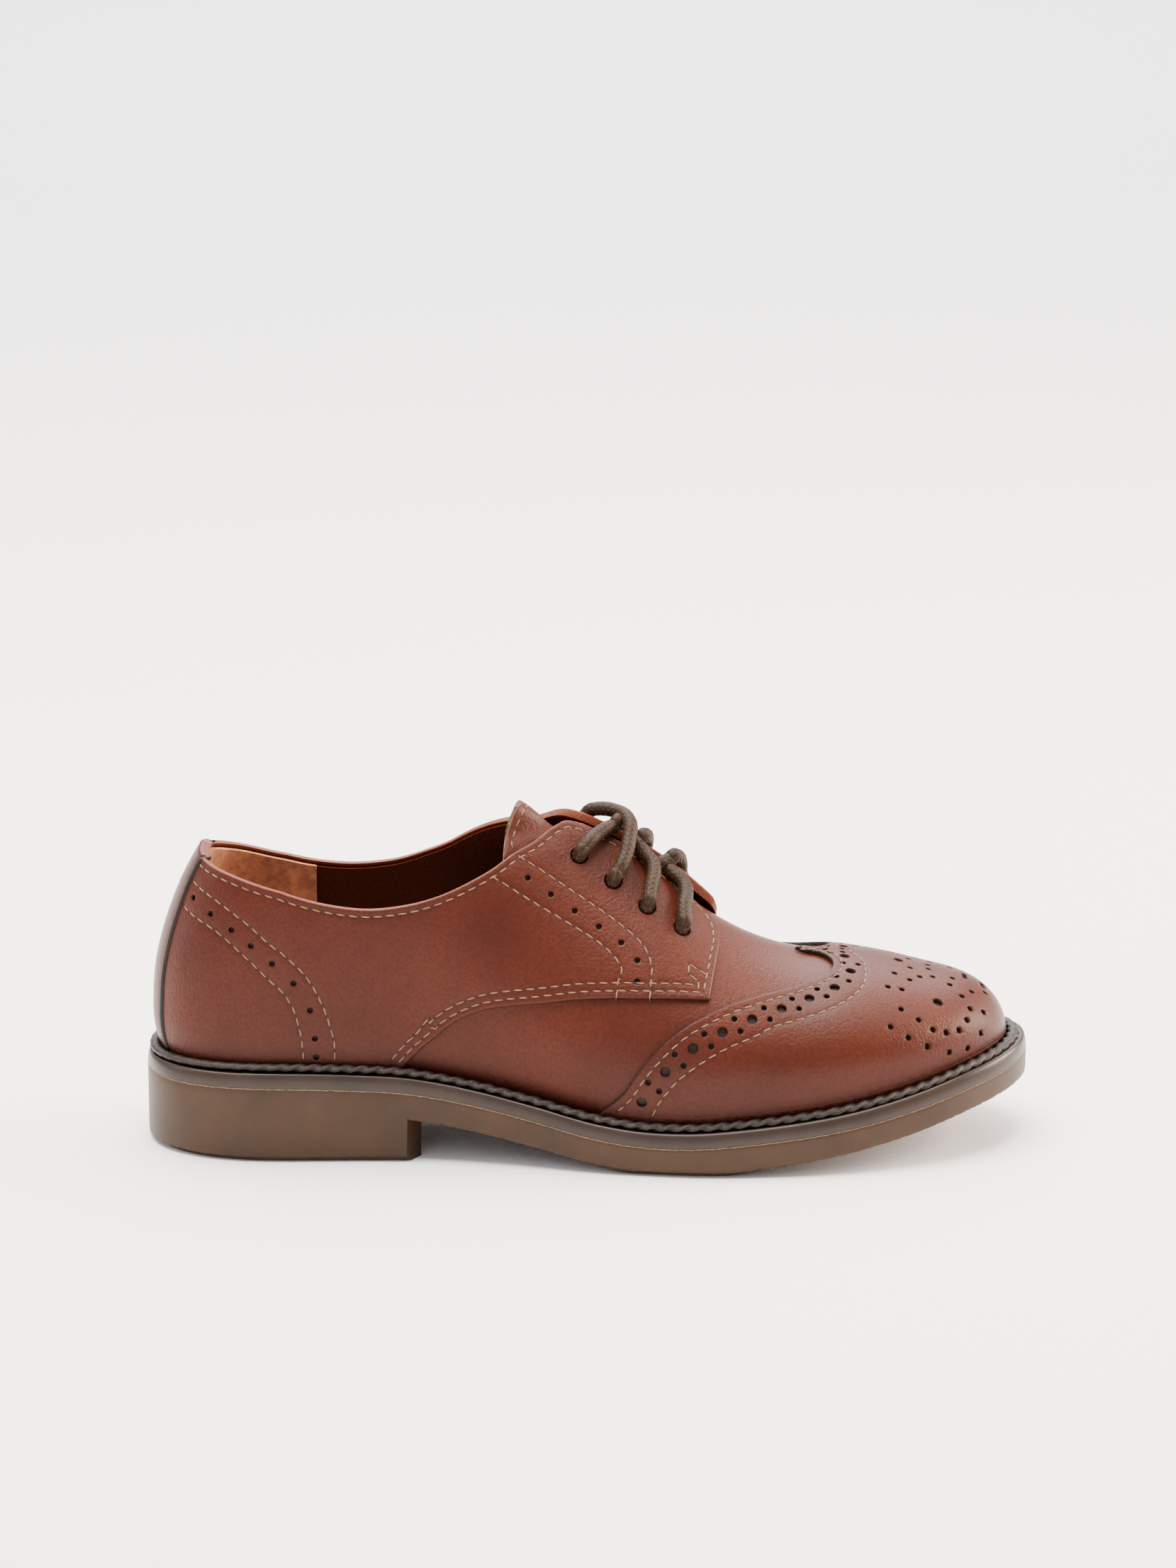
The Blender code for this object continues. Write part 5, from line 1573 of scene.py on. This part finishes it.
def lace_route():
    """The lace's centre line as length, girth and height in mm, eyelet by eyelet.

    It comes up through each lower eyelet, runs over its own facing, dives into the gap and goes
    under the other facing. The top two crossings end inside the shoe, just under their eyelets.
    """
    hidden = -1.0
    top_outer = [(0.489, -0.215, -1.3), (0.489, -0.215, 0.8), (0.4905, -0.203, 2.7),
                 (0.495, -0.175, 3.7), (0.503, -0.120, 3.9), (0.514, -0.050, 4.0),
                 (0.523, 0.020, 4.0), (0.528, 0.090, 4.1), (0.528, 0.180, 3.8),
                 (0.527, 0.240, 2.7), (0.527, 0.257, 0.8), (0.527, 0.257, hidden)]
    over_second = [(0.533, 0.120, hidden), (0.539, 0.035, hidden + 0.2), (0.546, -0.018, 0.9),
                   (0.554, -0.058, 3.3), (0.5635, -0.095, 3.9), (0.567, -0.150, 3.8),
                   (0.5655, -0.220, 3.6), (0.565, -0.270, 2.6), (0.565, -0.285, 0.8),
                   (0.565, -0.285, hidden)]
    under_second = [(0.564, -0.180, hidden), (0.569, -0.082, hidden + 0.1),
                    (0.5735, -0.040, 1.2), (0.578, -0.018, 3.8), (0.583, 0.015, 5.6),
                    (0.588, 0.060, 5.2), (0.595, 0.130, 4.2), (0.601, 0.220, 3.7),
                    (0.603, 0.270, 2.6), (0.603, 0.285, 0.8), (0.603, 0.285, hidden)]
    bar = [(0.597, 0.150, hidden), (0.592, 0.000, hidden), (0.597, -0.150, hidden),
           (0.603, -0.285, hidden)]
    over_first = [(0.603, -0.285, 0.8), (0.602, -0.270, 2.6), (0.600, -0.220, 3.6),
                  (0.601, -0.150, 3.8), (0.598, -0.095, 3.9), (0.589, -0.058, 3.3),
                  (0.581, -0.018, 0.9), (0.575, 0.035, hidden + 0.2), (0.569, 0.120, hidden),
                  (0.565, 0.285, hidden)]
    back_over = [(0.565, 0.285, 0.8), (0.564, 0.270, 2.6), (0.562, 0.210, 3.7),
                 (0.558, 0.130, 4.2), (0.554, 0.060, 5.2), (0.550, 0.015, 5.6),
                 (0.545, -0.018, 3.8), (0.5395, -0.040, 1.2), (0.535, -0.082, hidden + 0.1),
                 (0.529, -0.180, hidden), (0.527, -0.257, hidden)]
    arch = [(0.527, -0.257, 0.8), (0.5275, -0.245, 2.6), (0.5310, -0.220, 3.8),
            (0.5350, -0.160, 4.8), (0.5350, -0.090, 6.0), (0.5310, -0.015, 7.9),
            (0.5220, 0.030, 8.5), (0.5070, 0.058, 7.9), (0.4960, 0.085, 6.8),
            (0.4910, 0.130, 5.2), (0.4890, 0.185, 3.8), (0.4885, 0.210, 2.5),
            (0.4890, 0.215, 0.8), (0.4890, 0.215, -1.3)]
    return np.array(top_outer + over_second + under_second + bar + over_first + back_over + arch)


def add_laces():
    """One braided cord through the eight eyelets.

    The cord's radius follows a braid of 12 strands each way: two families of helices, each strand
    a round ridge, two over and two under. Where it lies under a facing it is pressed flat.
    """
    route = lace_route()
    scale = np.array([SOLE_LENGTH / MM, 85, 1])
    gaps = np.linalg.norm(np.diff(route * scale, axis=0), axis=1)
    along = np.concatenate([[0], np.cumsum(gaps)])
    t = np.linspace(0, along[-1], 6000)
    length, girth, height = (smooth(np.stack([along, route[:, k]], 1), 1, t) for k in range(3))
    place_of = over_toe(length, girth)
    over_facing = (OVERLAY_HIGH + facing_lift(*place_of) + 0.46 * LACE_DIAMETER) / MM
    height = np.where(height > 2.2, np.maximum(height, over_facing), height)
    path = on_last(*place_of, height * MM)
    run = np.concatenate([[0], np.cumsum(np.linalg.norm(np.diff(path, axis=0), axis=1))])
    count = int(run[-1] / LACE_PITCH)
    at = np.linspace(0, run[-1], count)
    path = np.stack([np.interp(at, run, path[:, k]) for k in range(3)], 1)
    normal = last_normals(*place_of)
    normal = unit(np.stack([np.interp(at, run, normal[:, k]) for k in range(3)], 1))
    height = np.interp(at, run, height)
    flow = unit(np.gradient(path, axis=0))

    # The frame turns with the path and doesn't twist round it: each step swings the last one over.
    across = np.zeros_like(path)
    across[0] = unit(np.cross(flow[0], normal[0]))
    for i in range(1, count):
        carried = across[i - 1] - flow[i] * (across[i - 1] @ flow[i])
        across[i] = carried / np.linalg.norm(carried)
    second = np.cross(flow, across)

    sides = 48
    strands = 12
    turn = np.arange(sides) / sides
    axial = at[:, None] / (1.55 * MM)
    first = strands * turn[None] + axial
    other = strands * turn[None] - axial
    ridge_a = np.sqrt(1 - np.minimum(np.abs(2 * (first % 1) - 1), 0.98) ** 2)
    ridge_b = np.sqrt(1 - np.minimum(np.abs(2 * (other % 1) - 1), 0.98) ** 2)
    over_a = np.sin((other + np.floor(first)) * math.pi / 2)
    over_b = -np.sin((first + np.floor(other)) * math.pi / 2)
    relief = np.maximum(ridge_a + 0.5 * over_a, ridge_b + 0.5 * over_b) - 0.5
    size = LACE_DIAMETER / 2 - 0.16 * MM + 0.20 * MM * relief
    size = size * (1 + 0.035 * wobble(at, 12, 9 * MM, 2))[:, None]
    end = np.minimum(np.arange(count), np.arange(count)[::-1])
    size = size * np.sqrt(np.clip(end / 5, 0.03, 1))[:, None]
    angle = turn * math.tau
    ring = (across[:, None] * np.cos(angle)[:, None] + second[:, None] * np.sin(angle)[:, None])
    ring = ring * size[..., None]
    squeeze = 0.42 + 0.58 * ease((height + 0.7) / 1.5)
    depth = (ring * normal[:, None]).sum(-1, keepdims=True)
    ring -= depth * normal[:, None] * (1 - squeeze)[:, None, None]
    points = path[:, None] + ring
    faces = grid_faces(count, sides, wrap_columns=True, caps=True)
    piece = add_mesh("braided_lace", points, faces, LACE_COTTON, {"strand": relief},
                     sharp=80, nodes=("laces",))
    outward(piece)


# Area lights: name, place, aim, width, power in watts and tint
LIGHTS = [
    ("key_above", (-0.20, 0.10, 1.5), (0.02, 0, 0.03), 1.3, 108, "#fff6ea"),
    ("back_wash", (0.0, 2.9, 1.9), (0, 2.9, 0), 2.6, 190, "#ffffff"),
    ("front_fill", (-0.6, -1.6, 0.9), (0, 0, 0.04), 1.2, 3, "#ffffff"),
    ("right_kick", (1.3, 0.3, 0.6), (0.05, 0, 0.05), 0.7, 60, "#ffe8d4"),
    ("left_kick", (-1.4, -0.1, 0.7), (-0.08, 0, 0.05), 0.6, 6, "#ffeee0"),
]
FLOOR_HALF = 9.0
SKY_STRENGTH = 1.05


def add_studio():
    """Pale paper floor and sky, a broad soft light above, a wash behind and weak side lights."""
    mesh = bpy.data.meshes.new("studio_floor")
    corners = [(-1, -1), (1, -1), (1, 1), (-1, 1)]
    mesh.from_pydata([(x * FLOOR_HALF, y * FLOOR_HALF, 0) for x, y in corners], [], [(0, 1, 2, 3)])
    mesh.materials.append(PAPER)
    floor = bpy.data.objects.new("studio_floor", mesh)
    bpy.context.collection.objects.link(floor)

    world = bpy.data.worlds.new("studio")
    world.use_nodes = True
    background = world.node_tree.nodes["Background"]
    background.inputs["Color"].default_value = colour("#f4f3f5")
    background.inputs["Strength"].default_value = SKY_STRENGTH
    bpy.context.scene.world = world

    for name, place, aim, width, power, tint in LIGHTS:
        lamp = bpy.data.lights.new(name, "AREA")
        lamp.shape = "SQUARE"
        lamp.size = width
        lamp.energy = power
        lamp.color = colour(tint)[:3]
        holder = bpy.data.objects.new(name, lamp)
        holder.location = place
        holder.rotation_mode = "QUATERNION"
        turn = (Vector(aim) - Vector(place)).to_track_quat("-Z", "Y")
        holder.rotation_quaternion = turn
        bpy.context.collection.objects.link(holder)


# The camera's distance, its height above the aim as an angle, its tilt down, and its lens in mm
CAMERA_REACH = 1.5
CAMERA_RISE = math.radians(16.0)
CAMERA_TILT = math.radians(14.11)
CAMERA_AIM = (0.1201, 0.0, 0.0466)
CAMERA_LENS = 126.5


def add_camera():
    """A long lens 1.5 m away: seen from the outer side, 16 degrees above the shoe."""
    camera = bpy.data.cameras.new("photo_camera")
    camera.sensor_width = 36
    camera.lens = CAMERA_LENS
    camera.clip_start = 0.05
    camera.clip_end = 40
    holder = bpy.data.objects.new("photo_camera", camera)
    aim = np.array(CAMERA_AIM) - ORIGIN
    across, up = math.cos(CAMERA_RISE), math.sin(CAMERA_RISE)
    holder.location = aim + CAMERA_REACH * np.array([0, -across, up])
    holder.rotation_euler = (math.pi / 2 - CAMERA_TILT, 0, 0)
    bpy.context.collection.objects.link(holder)
    bpy.context.scene.camera = holder


add_studio()
add_camera()
add_outsole()
add_midsole()
add_flash()
add_welt()
add_insole()
vamp = add_vamp()
add_toe_cap()
add_quarter(LATERAL)
add_quarter(MEDIAL)
add_heel_strip()
add_piping(LATERAL)
add_piping(MEDIAL)
add_tongue()
add_linings()
add_laces()
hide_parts("upper")
